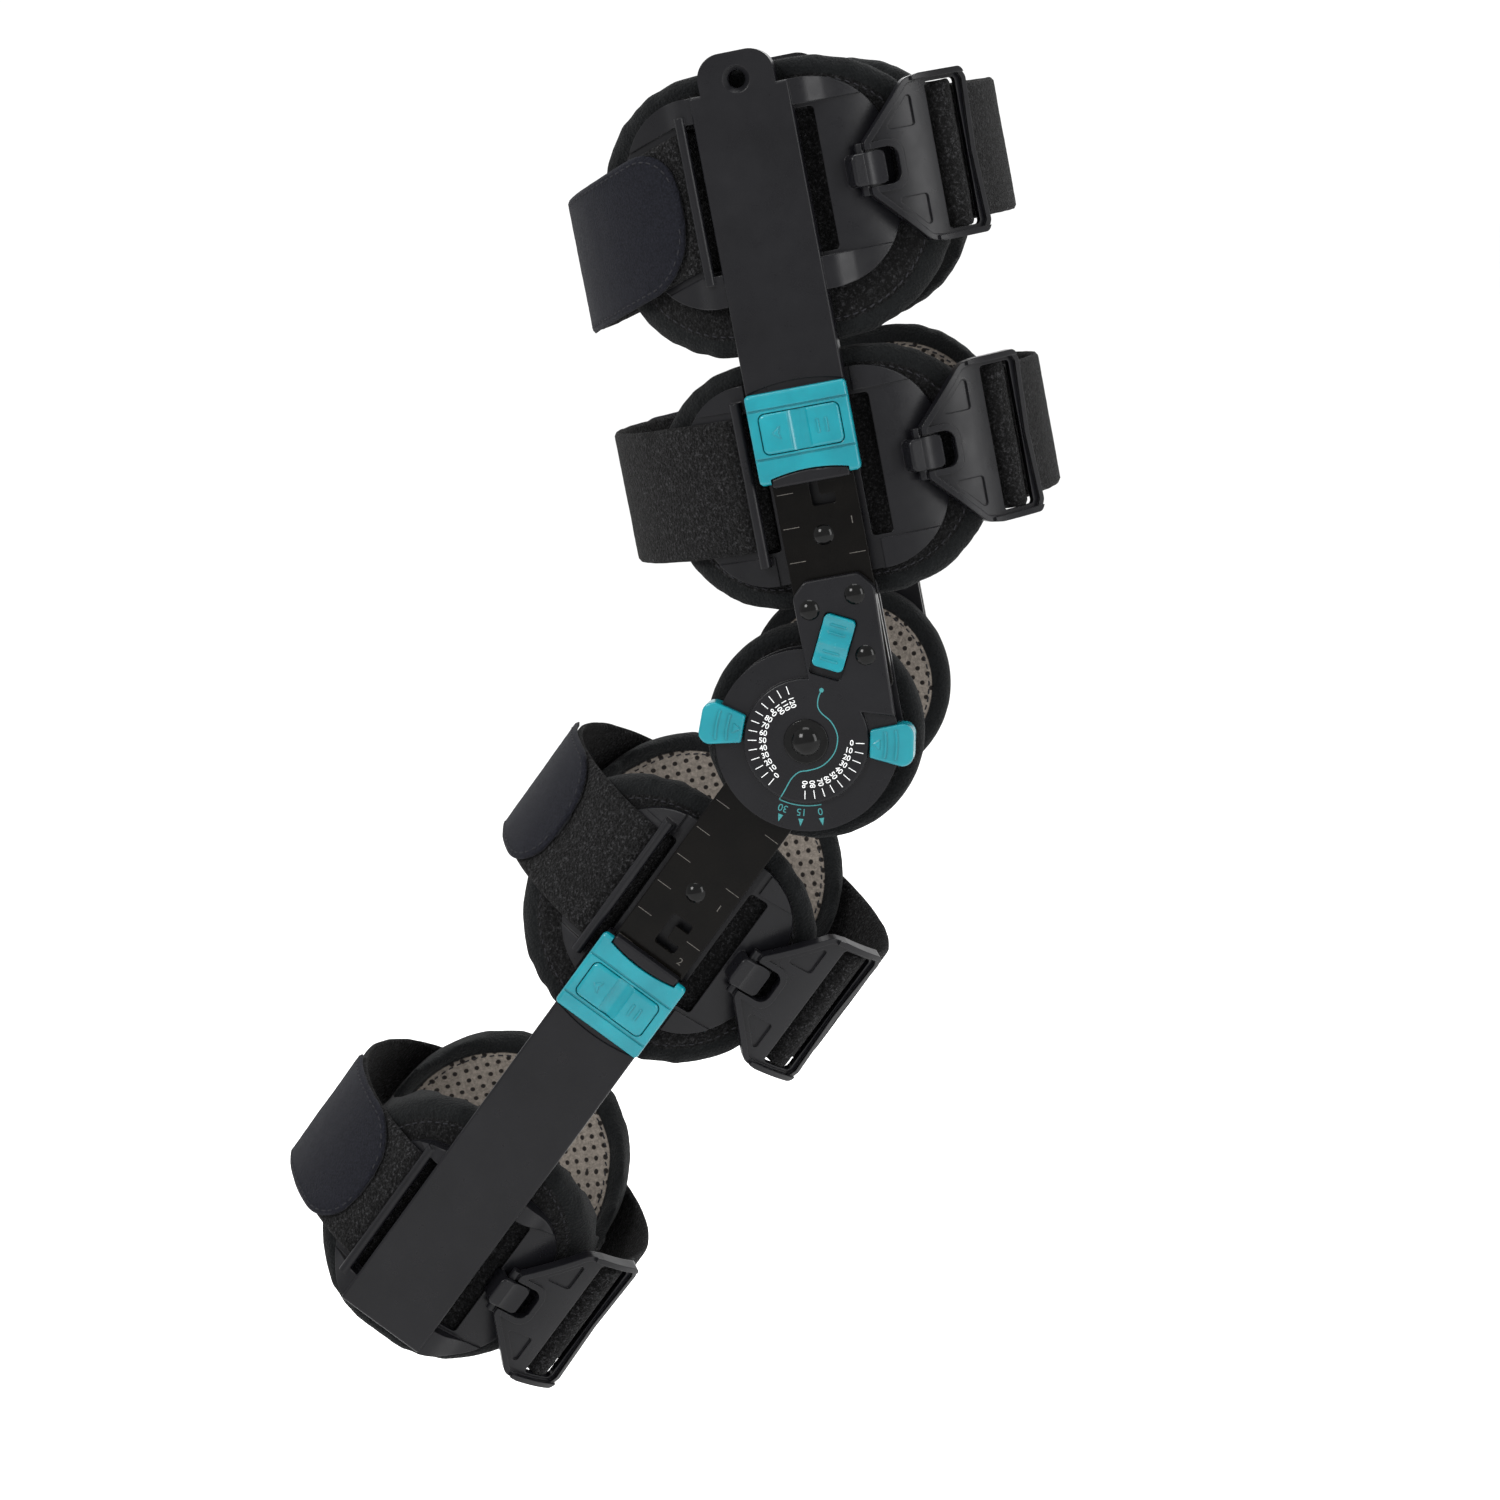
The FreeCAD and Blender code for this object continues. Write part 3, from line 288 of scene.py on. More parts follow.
def make_materials():
    looks = {}

    k = Look("brace_black_steel", (0.0012, 0.0011, 0.001), 0.2, Specular_IOR_Level=0.08)
    k.colour(k.ramp(k.noise(60, 4), (0.35, (0.0010, 0.0009, 0.0008)), (0.7, (0.0020, 0.0017, 0.0014))))
    k.rough(k.ramp(k.noise(220, 5, 0.6), (0.3, 0.12), (0.75, 0.26)))
    k.bump(k.noise(900, 3), 0.06, 0.0002)
    k.edges(0.0005)
    looks["steel_black"] = k.mat

    k = Look("brace_black_moulding", (0.004, 0.004, 0.0049), 0.32, Specular_IOR_Level=0.15)
    k.colour(k.ramp(k.noise(35, 3), (0.3, (0.0032, 0.0032, 0.0040)), (0.75, (0.0050, 0.0050, 0.0061))))
    k.rough(k.ramp(k.noise(120, 5, 0.6), (0.3, 0.25), (0.75, 0.38)))
    k.bump(k.cells(2600), 0.10, 0.00012)
    k.bump(k.noise(70, 2), 0.05, 0.0006)
    k.edges(0.0006)
    looks["plastic_black"] = k.mat

    k = Look("brace_teal_moulding", (0.001, 0.145, 0.18), 0.25, Coat_Weight=0.08, Coat_Roughness=0.08,
             Subsurface_Weight=0.04, Specular_IOR_Level=0.3)
    k.colour(k.ramp(k.noise(90, 3), (0.3, (0.0008, 0.122, 0.152)), (0.75, (0.0015, 0.160, 0.195))))
    k.rough(k.ramp(k.noise(300, 4), (0.3, 0.15), (0.75, 0.28)))
    k.bump(k.noise(120, 2), 0.06, 0.0006)
    k.edges(0.0006)
    looks["plastic_teal"] = k.mat

    k = Look("brace_rivet", (0.002, 0.002, 0.002), 0.10, Specular_IOR_Level=0.14)
    k.rough(k.ramp(k.noise(500, 4), (0.3, 0.07), (0.75, 0.15)))
    k.colour(k.ramp(k.noise(300, 2), (0.3, (0.0012, 0.0012, 0.0012)), (0.8, (0.0028, 0.0028, 0.0028))))
    looks["rivet_black"] = k.mat

    k = Look("brace_washer", (0.55, 0.55, 0.52), 0.5)
    k.colour(k.ramp(k.noise(200, 2), (0.3, (0.5, 0.5, 0.47)), (0.8, (0.6, 0.6, 0.57))))
    looks["washer_nylon"] = k.mat

    # Napped loop webbing: bright curled fibres over a dark ground.
    k = Look("brace_loop_webbing", (0.004, 0.004, 0.0043), 0.95, Sheen_Weight=0.03, Sheen_Roughness=0.5,
             Specular_IOR_Level=0.06)
    nap_colours(k, 0.0007, 0.0032, 0.045)
    k.bump(k.cells(900), 0.8, 0.0008)
    k.bump(k.noise(1100, 6, 0.8), 1.0, 0.0008)
    looks["loop_webbing"] = k.mat

    # Smooth navy-black hook tape.
    k = Look("brace_hook_tab", (0.004, 0.0043, 0.0065), 0.85, Sheen_Weight=0.03, Sheen_Roughness=0.45,
             Specular_IOR_Level=0.08)
    weave = k.noise(1300, 4, 0.7)
    k.colour(k.ramp(weave, (0.36, (0.0016, 0.0018, 0.0032)), (0.72, (0.0085, 0.0090, 0.0135))))
    k.bump(weave, 0.7, 0.0006)
    k.bump(k.noise(45, 2), 0.35, 0.0018)
    looks["hook_tab"] = k.mat

    # Foam pad: loop fabric, smooth binding round the edge and dotted knit on the leg side.
    # "rim" runs 0..1 from 20 mm inside the outline to the outline, "inward" is 1 on the leg side,
    # "across" and "up" are places on the straight leg in mm.
    k = Look("brace_foam_pad", (0.004, 0.004, 0.0045), 0.93, Sheen_Weight=0.03, Sheen_Roughness=0.5,
             Specular_IOR_Level=0.06)
    nap = nap_colours(k, 0.0007, 0.0030, 0.028)
    rim = k.attribute("rim")
    bound = k.ramp(k.noise(700, 3, 0.6), (0.35, (0.0036, 0.0040, 0.0043)), (0.75, (0.0060, 0.0067, 0.0071)))
    dots = k.lattice("across", "up", 4.3)
    knit = k.ramp(k.noise(700, 4), (0.35, (0.105, 0.092, 0.080)), (0.7, (0.17, 0.15, 0.13)))
    hole = k.ramp(dots, (0.0, (0.006, 0.005, 0.0045)), (0.25, (0.014, 0.012, 0.011)))
    lining = k.mix(k.ramp(dots, (0.19, 0.0), (0.25, 1.0)), hole, knit)
    inside = k.product(k.ramp(k.attribute("inward"), (0.45, 0.0), (0.55, 1.0)),
                       k.ramp(rim, (0.655, 1.0), (0.675, 0.0)))
    k.colour(k.mix(inside, k.mix(k.ramp(rim, (0.675, 0.0), (0.70, 1.0)), nap, bound), lining))
    k.bump(k.cells(900), 0.6, 0.0007)
    k.bump(k.noise(1100, 6, 0.8), 0.8, 0.0007)
    looks["foam_pad"] = k.mat

    k = Look("brace_stitching", (0.012, 0.012, 0.014), 0.8, Specular_IOR_Level=0.12)
    k.colour(k.ramp(k.noise(3000, 3), (0.3, (0.007, 0.007, 0.0085)), (0.7, (0.020, 0.020, 0.023))))
    looks["stitching"] = k.mat

    k = Look("brace_print_white", (0.82, 0.83, 0.83), 0.45)
    k.colour(k.ramp(k.noise(1800, 4), (0.3, (0.42, 0.43, 0.43)), (0.6, (0.60, 0.61, 0.61))))
    looks["print_white"] = k.mat

    k = Look("brace_print_teal", (0.015, 0.24, 0.24), 0.45)
    k.colour(k.ramp(k.noise(1800, 4), (0.3, (0.006, 0.10, 0.105)), (0.6, (0.010, 0.15, 0.155))))
    looks["print_teal"] = k.mat

    k = Look("brace_engraved", (0.09, 0.085, 0.075), 0.45)
    k.colour(k.ramp(k.noise(1500, 4), (0.35, (0.014, 0.012, 0.010)), (0.65, (0.055, 0.049, 0.041))))
    looks["engraved"] = k.mat
    return looks


def nap_colours(k, dark, mid, bright):
    """Loop pile: dark ground, mid tone tufts and scattered bright curls. Also set as the colour."""
    fine = k.noise(1100, 6, 0.8)
    ground = k.ramp(fine, (0.36, (dark, dark, dark * 1.05)), (0.68, (mid, mid, mid * 1.05)))
    curls = k.ramp(fine, (0.44, (mid, mid, mid * 1.05)), (0.66, (bright, bright, bright * 1.06)))
    result = k.mix(k.ramp(k.noise(700, 5, 0.85), (0.50, 0.0), (0.58, 1.0)), ground, curls)
    k.colour(result)
    return result


MAT = make_materials()


def dress_cad():
    """Give every CAD node the material of its slot."""
    slots = {s["node"]: s["material_slot"] for s in frame["record"]["subparts"]}
    for name, obj in frame["nodes"].items():
        material = MAT[slots[name]]
        if obj.material_slots:
            for place in obj.material_slots:
                place.material = material
        else:
            obj.data.materials.append(material)


# ---------------------------------------------------------------- pads
VOXEL = 4.0 * MM
SWELL_CAP = 3.2
BINDING = 6.2
SEAM_DEPTH = 1.0
SEAM_WIDTH = 1.3
RIM_RANGE = 20.0
EDGE_TILT = 0.65
CONDYLE_CENTRE = (1.5, 1.0)
CONDYLE_R = 40.5
CONDYLE_SEAM_R = 32.6
CONDYLE_CAP = 2.2
CONDYLE_VOXEL = 3.5 * MM
PAD_PITCH = 3.3
STITCH_HALF = 1.15


def remeshed(obj, voxel):
    mod = obj.modifiers.new("remesh", "REMESH")
    mod.mode = "VOXEL"
    mod.voxel_size = voxel
    mod.use_smooth_shade = True
    mesh = evaluated_mesh(obj)
    obj.modifiers.clear()
    old = obj.data
    obj.data = mesh
    bpy.data.meshes.remove(old)


def swell(obj, pressure=4.0, frames=20):
    """Short cloth run under inner pressure; returns where each vertex would go."""
    mod = obj.modifiers.new("cloth", "CLOTH")
    settings = mod.settings
    settings.quality = 6
    settings.mass = 0.3
    settings.tension_stiffness = 12
    settings.compression_stiffness = 12
    settings.bending_stiffness = 0.6
    settings.use_pressure = True
    settings.uniform_pressure_force = pressure
    settings.effector_weights.gravity = 0
    mod.point_cache.frame_start = 1
    mod.point_cache.frame_end = frames
    scene = bpy.context.scene
    for number in range(1, frames + 1):
        scene.frame_set(number)
    moved = evaluated_mesh(obj)
    places = [v.co.copy() for v in moved.vertices]
    bpy.data.meshes.remove(moved)
    obj.modifiers.clear()
    scene.frame_set(1)
    return places


def relax(mesh, rounds):
    """Evens out the steps that the voxels leave, in and out by turns so that nothing shrinks."""
    count = len(mesh.vertices)
    co = np.empty(count * 3)
    mesh.vertices.foreach_get("co", co)
    co = co.reshape(-1, 3)
    pairs = np.empty(len(mesh.edges) * 2, dtype=np.int32)
    mesh.edges.foreach_get("vertices", pairs)
    a, b = pairs.reshape(-1, 2).T
    degree = np.bincount(pairs, minlength=count)[:, None]
    for _ in range(rounds):
        for factor in (0.5, -0.53):
            total = np.zeros_like(co)
            np.add.at(total, a, co[b])
            np.add.at(total, b, co[a])
            co += factor * (total / degree - co)
    mesh.vertices.foreach_set("co", co.ravel())
    mesh.update()


def even_outline(mesh, forth, back, turn, rim_of):
    """Brings the edge of a pad back to one even distance from its drawn outline."""
    edge = []
    for vertex in mesh.vertices:
        normal = (turn @ vertex.normal).normalized()
        if abs(normal.y) < EDGE_TILT:
            local = back @ vertex.co
            edge.append((vertex, normal, local, rim_of(local)))
    level = sorted(entry[3] for entry in edge)[len(edge) * 2 // 3]
    for vertex, normal, local, rim in edge:
        flat = Vector((normal.x, 0, normal.z)).normalized()
        share = 1 - (abs(normal.y) / EDGE_TILT) ** 2
        vertex.co = forth @ (local + flat * (level - rim) * share)
    mesh.update()


def foam_piece(name, node, body, calf, sign, rim_of, covered_of, cap, voxel=VOXEL):
    """Foam pad in the CAD solid's place, softened and swollen, free to bulge only clear of its shell.

    rim_of gives the distance in mm from the drawn outline, negative inside; covered_of is 0 under the
    shell and 1 clear of it. The four stored attributes are read by the foam's material.
    """
    obj = bpy.data.objects.new(name, frame["nodes"][node].data.copy())
    bpy.context.scene.collection.objects.link(obj)
    exact = BVHTree.FromPolygons([v.co for v in obj.data.vertices],
                                 [tuple(p.vertices) for p in obj.data.polygons])
    remeshed(obj, voxel)
    relax(obj.data, 3)
    for vertex in obj.data.vertices:
        vertex.co = exact.find_nearest(vertex.co)[0]
    relax(obj.data, 4)
    forth = bend_leg(calf)
    back = forth.inverted()
    turn = back.to_3x3().normalized()
    start = [v.co.copy() for v in obj.data.vertices]
    normals = [v.normal.copy() for v in obj.data.vertices]
    goal = swell(obj)
    for i, vertex in enumerate(obj.data.vertices):
        local = back @ start[i]
        step = (back @ goal[i]) - local
        if step.length > cap:
            step *= cap / step.length
        if (turn @ normals[i]).y * sign > 0.25:
            step *= covered_of(local)
        if rim_of(local) > -5:
            step *= 0.5
        vertex.co = forth @ (local + step)
    relax(obj.data, 10)
    even_outline(obj.data, forth, back, turn, rim_of)
    relax(obj.data, 3)
    mod = obj.modifiers.new("smooth", "SUBSURF")
    mod.levels = mod.render_levels = 1
    mesh = evaluated_mesh(obj)
    obj.modifiers.clear()
    obj.data = mesh
    rim_data = mesh.attributes.new("rim", "FLOAT", "POINT")
    side_data = mesh.attributes.new("inward", "FLOAT", "POINT")
    across_data = mesh.attributes.new("across", "FLOAT", "POINT")
    up_data = mesh.attributes.new("up", "FLOAT", "POINT")
    normals = [(turn @ v.normal).normalized() for v in mesh.vertices]
    for i, vertex in enumerate(mesh.vertices):
        local = back @ vertex.co
        rim = rim_of(local)
        rim_data.data[i].value = max(0.0, min(1.0, (rim + RIM_RANGE) / RIM_RANGE))
        side_data.data[i].value = 0.5 - 0.5 * normals[i].y * sign
        across_data.data[i].value = local.x
        up_data.data[i].value = local.z
        seam = math.exp(-((rim + BINDING) / SEAM_WIDTH) ** 2)
        vertex.co = forth @ (local - normals[i] * SEAM_DEPTH * seam)
    for poly in mesh.polygons:
        poly.use_smooth = True
    finish_piece(obj, body, MAT["foam_pad"], [node])
    return obj


def pad_piece(name, c, side):
    sign = 1 if side == "med" else -1

    def rim_of(p):
        return box_distance(p.x - c["bar_x"], p.z, c["pad"], c["pad_r"])

    def covered_of(p):
        clear = box_distance(p.x - c["bar_x"], p.z, c["shell"], c["shell_r"])
        return max(0.0, min(1.0, (clear - 1.0) / 7.0))

    obj = foam_piece(f"{name}_foam_{side}", f"{name}_pad_{side}", c["body"], c["calf"], sign,
                     rim_of, covered_of, SWELL_CAP)
    x0, x1, z0, z1 = c["pad"]
    seam = rounded_loop(x0, x1, z0, z1, c["pad_r"], BINDING + 1.6)
    seam = [(c["bar_x"] + x, z) for x, z in seam]
    stitch_loop(f"{name}_stitches_{side}", obj, seam, c["body"], c["calf"], sign)


def condyle_piece(side):
    sign = 1 if side == "med" else -1
    cx, cz = CONDYLE_CENTRE

    def rim_of(p):
        return math.hypot(p.x - cx, p.z - cz) - CONDYLE_R

    obj = foam_piece(f"condyle_foam_{side}", f"condyle_pad_{side}", "thigh_frame", False, sign,
                     rim_of, lambda p: 0.0, CONDYLE_CAP, CONDYLE_VOXEL)
    turns = [t * math.pi / 90 for t in range(180)]
    ring = [(cx + CONDYLE_SEAM_R * math.cos(t), cz + CONDYLE_SEAM_R * math.sin(t)) for t in turns]
    stitch_loop(f"condyle_stitches_{side}", obj, ring, "thigh_frame", False, sign)


def rounded_loop(x0, x1, z0, z1, r, inset):
    """Closed line inside a rectangle with rounded corners."""
    x0, x1, z0, z1, r = x0 + inset, x1 - inset, z0 + inset, z1 - inset, r - inset
    r = min(r, (x1 - x0) / 2 - 0.1, (z1 - z0) / 2 - 0.1)
    points = []
    corners = ((x1 - r, z1 - r, 0), (x0 + r, z1 - r, 90), (x0 + r, z0 + r, 180), (x1 - r, z0 + r, 270))
    for cx, cz, start in corners:
        for i in range(10):
            t = math.radians(start + 10 * i)
            points.append((cx + r * math.cos(t), cz + r * math.sin(t)))
    return points + points[:1]


def stitch_loop(name, pad, line, body, calf, sign):
    """Thread laid along a line on both faces of a pad."""
    forth = bend_leg(calf)
    back = forth.inverted()
    bm = bmesh.new()
    bm.from_mesh(pad.data)
    bm.transform(back)
    tree = BVHTree.FromBMesh(bm)
    bm.free()
    verts, faces = [], []
    spots = resample(line + line[:1], PAD_PITCH)
    for (ax, az), (bx, bz) in zip(spots, spots[1:]):
        mid = ((ax + bx) / 2, (az + bz) / 2)
        for origin, way in ((130.0, -1.0), (20.0, 1.0)):
            begin = Vector((mid[0], origin * sign, mid[1]))
            hit, normal, _, _ = tree.ray_cast(begin, Vector((0, way * sign, 0)))
            if hit is None:
                continue
            along = Vector((bx - ax, 0, bz - az))
            along = (along - normal * along.dot(normal)).normalized()
            add_stitch(verts, faces, hit + normal * 0.12, along, normal, 0.32)
    obj = mesh_object(name, verts, faces, forth)
    finish_piece(obj, body, MAT["stitching"])


def add_stitch(verts, faces, middle, along, normal, r):
    """Six-sided thread with tapered ends."""
    side = along.cross(normal)
    base = len(verts)
    for t, grow in ((-1.0, 0.25), (-0.7, 1.0), (0.7, 1.0), (1.0, 0.25)):
        sink = -0.25 if abs(t) == 1.0 else 0.0
        for i in range(6):
            a = i * math.pi / 3
            verts.append(middle + along * (STITCH_HALF * t) + normal * (r * grow * math.sin(a) + sink)
                         + side * (r * grow * math.cos(a)))
    for ring in range(3):
        for i in range(6):
            j = (i + 1) % 6
            low, high = base + ring * 6, base + ring * 6 + 6
            faces.append((low + i, low + j, high + j, high + i))
    faces.append(tuple(base + i for i in range(6))[::-1])
    faces.append(tuple(base + 18 + i for i in range(6)))


# ---------------------------------------------------------------- webbing
RIBBON_CUTS = 40
EDGE_ROUND = 0.7
NAP = 0.16


def sweep(name, path, c, width, thick, fuzz=0.0, round_end=None, step=1.6):
    """Ribbon standing on edge along plan points, with soft rounded edges and a napped surface."""
    points = resample(path, step)
    ring = []
    half = width / 2
    for i in range(RIBBON_CUTS + 1):
        ring.append((-half + width * i / RIBBON_CUTS, 1))
    for i in range(RIBBON_CUTS + 1):
        ring.append((half - width * i / RIBBON_CUTS, -1))
    verts = []
    count = len(points)
    for k, (px, py) in enumerate(points):
        ax, ay = points[max(k - 1, 0)]
        bx, by = points[min(k + 1, count - 1)]
        length = math.hypot(bx - ax, by - ay)
        nx, ny = (by - ay) / length, -(bx - ax) / length
        trim = 0.0
        if round_end is not None:
            left = (count - 1 - k) * step
            if left < round_end:
                trim = round_end - math.sqrt(round_end ** 2 - (round_end - left) ** 2)
        middle = strap_mid(c, px)
        for z, s in ring:
            z = max(-half + trim, min(half - trim, z))
            near = max(0.0, 1 - (half - trim - abs(z)) / (EDGE_ROUND * thick))
            t = thick / 2 * math.sqrt(max(0.05, 1 - near * near)) * s
            p = Vector((px + nx * t, py + ny * t, middle + z))
            if fuzz:
                wave = noise.noise(p * 0.09) * fuzz * 1.6 + noise.noise(p * 0.9) * fuzz
                p += Vector((nx, ny, 0)) * wave * (1.0 if s > 0 else 0.6)
                p.z += noise.noise(p * 0.15 + Vector((7, 3, 1))) * fuzz * 1.2
            verts.append(p)
    size = len(ring)
    faces = []
    for k in range(count - 1):
        for i in range(size):
            j = (i + 1) % size
            faces.append((k * size + i, k * size + j, (k + 1) * size + j, (k + 1) * size + i))
    faces.append(tuple(range(size))[::-1])
    faces.append(tuple((count - 1) * size + i for i in range(size)))
    return mesh_object(name, verts, faces, bend_leg(c["calf"]))


def resample(path, step):
    """Even spacing along a Catmull-Rom line through the points."""
    dense = []
    count = len(path)
    for i in range(count - 1):
        p0, p1, p2, p3 = path[max(i - 1, 0)], path[i], path[i + 1], path[min(i + 2, count - 1)]
        for j in range(12):
            t = j / 12
            dense.append(tuple(
                0.5 * (2 * b + (c - a) * t + (2 * a - 5 * b + 4 * c - d) * t * t
                       + (3 * b - a - 3 * c + d) * t ** 3)
                for a, b, c, d in zip(p0, p1, p2, p3)))
    dense.append(path[-1])
    out = [dense[0]]
    left = step
    for a, b in zip(dense, dense[1:]):
        gap = math.dist(a, b)
        while gap >= left:
            a = tuple(m + (n - m) * left / gap for m, n in zip(a, b))
            out.append(a)
            gap = math.dist(a, b)
            left = step
        left -= gap
    return out


def on_ellipse(c, lift, angle):
    return (c["cx"] + (c["a"] + lift) * math.cos(angle), (c["b"] + lift) * math.sin(angle))


def hook_frame(c):
    x = c["bar_x"] + c["hook_x"]
    w = side_level(c, x)
    slope = math.atan2(c["b"] ** 2 * (x - c["cx"]), c["a"] ** 2 * w)
    return x, w, slope


def from_hook(c, u, n):
    """Plan point on the lateral side from the hook bar's own frame."""
    x, w, s = hook_frame(c)
    return x + u * math.cos(s) + n * math.sin(s), -(w - u * math.sin(s) + n * math.cos(s))


def tail_point(c, turn):
    return from_hook(c, BEND_U + TAIL_R * math.sin(turn), BEND_N + TAIL_R * math.cos(turn))


def strap_pieces(name, c):
    """Rear and front runs of one strap; they meet under the medial upright."""
    bx = c["bar_x"]
    lift = STRAP_LIFT + STRAP_THICK / 2
    under = under_level(c) - STRAP_THICK / 2
    rear_angle = math.acos((bx - STRAP_LEAVES - c["cx"]) / (c["a"] + lift))
    front_angle = math.acos((bx + STRAP_LEAVES - c["cx"]) / (c["a"] + lift))

    rear = [(bx - 18.8, -(under - 0.8)), (bx - 22.5, -(under + 1.7))]
    steps = 30
    for i in range(steps + 1):
        t = -rear_angle - (2 * math.pi - 2 * rear_angle) * i / steps
        rear.append(on_ellipse(c, lift, t))
    rear += [(bx - 21.5, (under + side_level(c, bx - 26, lift)) / 2), (bx - 16.0, under),
             (bx - 6, under), (bx, under)]
    obj = sweep(f"{name}_webbing_rear", rear, c, STRAP_WIDTH, STRAP_THICK + 0.5, fuzz=NAP)
    finish_piece(obj, c["body"], MAT["loop_webbing"], [f"{name}_strap"])

    end = tail_point(c, LOOP_TURN + TAIL_ARC - 0.02)
    meet = math.atan2(end[1] / (c["b"] + lift), (end[0] - c["cx"]) / (c["a"] + lift)) + 0.26
    front = [(bx - 2, under), (bx + 8, under), (bx + 16.0, under),
             (bx + 21.5, (under + side_level(c, bx + 26, lift)) / 2)]
    steps = 18
    for i in range(steps + 1):
        t = front_angle + (meet - front_angle) * i / steps
        front.append(on_ellipse(c, lift, t))
    front.append(end)
    obj = sweep(f"{name}_webbing_front", front, c, STRAP_WIDTH, STRAP_THICK + 0.5, fuzz=NAP)
    obj.data.materials.append(MAT["loop_webbing"])
    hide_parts(f"{name}_strap")
    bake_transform(obj)

    loop_piece(name, c)
    tab_piece(name, c)


def loop_piece(name, c):
    """Webbing rolled over the buckle's hidden bar and leaving under its outer bar."""
    u = BEND_U + LOOP_R * math.sin(LOOP_TURN)
    n = BEND_N + LOOP_R * math.cos(LOOP_TURN)
    path = []
    for i in range(15):
        t = math.radians(250 - 262 * i / 14)
        path.append(from_hook(c, u + ROLL_R * math.cos(t), n + ROLL_R * math.sin(t)))
    for i in range(4):
        path.append(tail_point(c, LOOP_TURN + ROLL_ARC + (TAIL_ARC - ROLL_ARC) * i / 3))
    obj = sweep(f"{name}_webbing_loop", path, c, STRAP_WIDTH + 3.6, STRAP_THICK + 0.4, fuzz=NAP, step=1.0)
    finish_piece(obj, c["buckle_body"], MAT["loop_webbing"], [f"{name}_loop"])


def tab_piece(name, c):
    """Hook tape closing the folded strap end: one layer with a rounded, stitched end."""
    lift = STRAP_LIFT + STRAP_THICK + 0.6 + TAB_THICK / 2
    first, last = (math.radians(v) for v in c["tab"])
    path = [on_ellipse(c, lift, last + (first - last) * i / 16) for i in range(17)]
    width = STRAP_WIDTH + 1.0
    obj = sweep(f"{name}_hook_tab", path, c, width, TAB_THICK, fuzz=0.08, round_end=TAB_END)
    finish_piece(obj, c["body"], MAT["hook_tab"], [f"{name}_tab"])

    # The seam runs TAB_SEAM inside the edge, up one side, round the end and back.
    points = resample(path, TAB_STEP)
    count = len(points)
    radius = TAB_END - TAB_SEAM
    seam = []
    for sign in (1, -1):
        run = []
        for k in range(3, count):
            left = (count - 1 - k) * TAB_STEP - TAB_SEAM
            if left < 0:
                break
            trim = radius - math.sqrt(max(0.0, radius ** 2 - max(0.0, radius - left) ** 2))
            run.append((k, sign * (width / 2 - TAB_SEAM - trim)))
        seam += run if sign > 0 else run[::-1]
    line = []
    for k, z in seam:
        px, py = points[k]
        ax, ay = points[max(k - 1, 0)]
        bx, by = points[min(k + 1, count - 1)]
        length = math.hypot(bx - ax, by - ay)
        normal = Vector(((by - ay) / length, -(bx - ax) / length, 0))
        if normal.dot(Vector((px - c["cx"], py, 0))) < 0:
            normal = -normal
        line.append((Vector((px, py, strap_mid(c, px) + z)) + normal * (TAB_THICK / 2 + 0.08), normal))
    verts, faces = [], []
    gone = 0.0
    for (a, _), (b, normal) in zip(line, line[1:]):
        gone += (b - a).length
        if gone >= TAB_PITCH:
            gone = 0.0
            add_stitch(verts, faces, b, (b - a).normalized(), normal, 0.3)
    obj = mesh_object(f"{name}_tab_stitches", verts, faces, bend_leg(c["calf"]))
    finish_piece(obj, c["body"], MAT["stitching"])


# ---------------------------------------------------------------- prints
def figures(name, body, words, x, z, size, turn, level, material, side, calf=False, bold=0.0):
    """Flat printed figures on an outward face; turn is seen by someone looking at that face."""
    curve = bpy.data.curves.new(name, "FONT")
    curve.body = words
    curve.size = size * MM
    curve.align_x = "CENTER"
    curve.align_y = "CENTER"
    curve.extrude = 0.02 * MM
    curve.offset = bold * MM
    obj = bpy.data.objects.new(name, curve)
    bpy.context.scene.collection.objects.link(obj)
    mesh = evaluated_mesh(obj)
    bpy.data.objects.remove(obj)
    mesh.transform(Matrix.Rotation(turn, 4, "Z"))
    mesh.transform(Matrix.Rotation(math.radians(90), 4, "X"))
    out = -1
    if side == "med":
        mesh.transform(Matrix.Rotation(math.pi, 4, "Z"))
        out = 1
    mesh.transform(Matrix.Translation((x * MM, out * level * MM, z * MM)))
    if calf:
        mesh.transform(Matrix.Rotation(REST_FLEXION, 4, "Y"))
    piece = bpy.data.objects.new(name, mesh)
    bpy.context.scene.collection.objects.link(piece)
    return finish_piece(piece, body, material)


class Print:
    """Collects flat strokes on one outward face and makes one mesh of them."""

    def __init__(self, level, side, calf=False):
        self.level = level
        self.side = side
        self.calf = calf
        self.verts = []
        self.faces = []

    def shape(self, points):
        sign = -1 if self.side == "lat" else 1
        base = len(self.verts)
        for x, z in points:
            self.verts.append((x, sign * self.level, z))
        self.faces.append(tuple(range(base, base + len(points))))

    def stroke(self, points, width):
        for (ax, az), (bx, bz) in zip(points, points[1:]):
            length = math.hypot(bx - ax, bz - az)
            nx, nz = -(bz - az) / length * width / 2, (bx - ax) / length * width / 2
            self.shape([(ax + nx, az + nz), (bx + nx, bz + nz), (bx - nx, bz - nz), (ax - nx, az - nz)])

    def done(self, name, body, material):
        obj = mesh_object(name, self.verts, self.faces, bend_leg(self.calf), smooth=False)
        return finish_piece(obj, body, material)


def polar(r, degrees):
    t = math.radians(degrees)
    return (r * math.cos(t), r * math.sin(t))


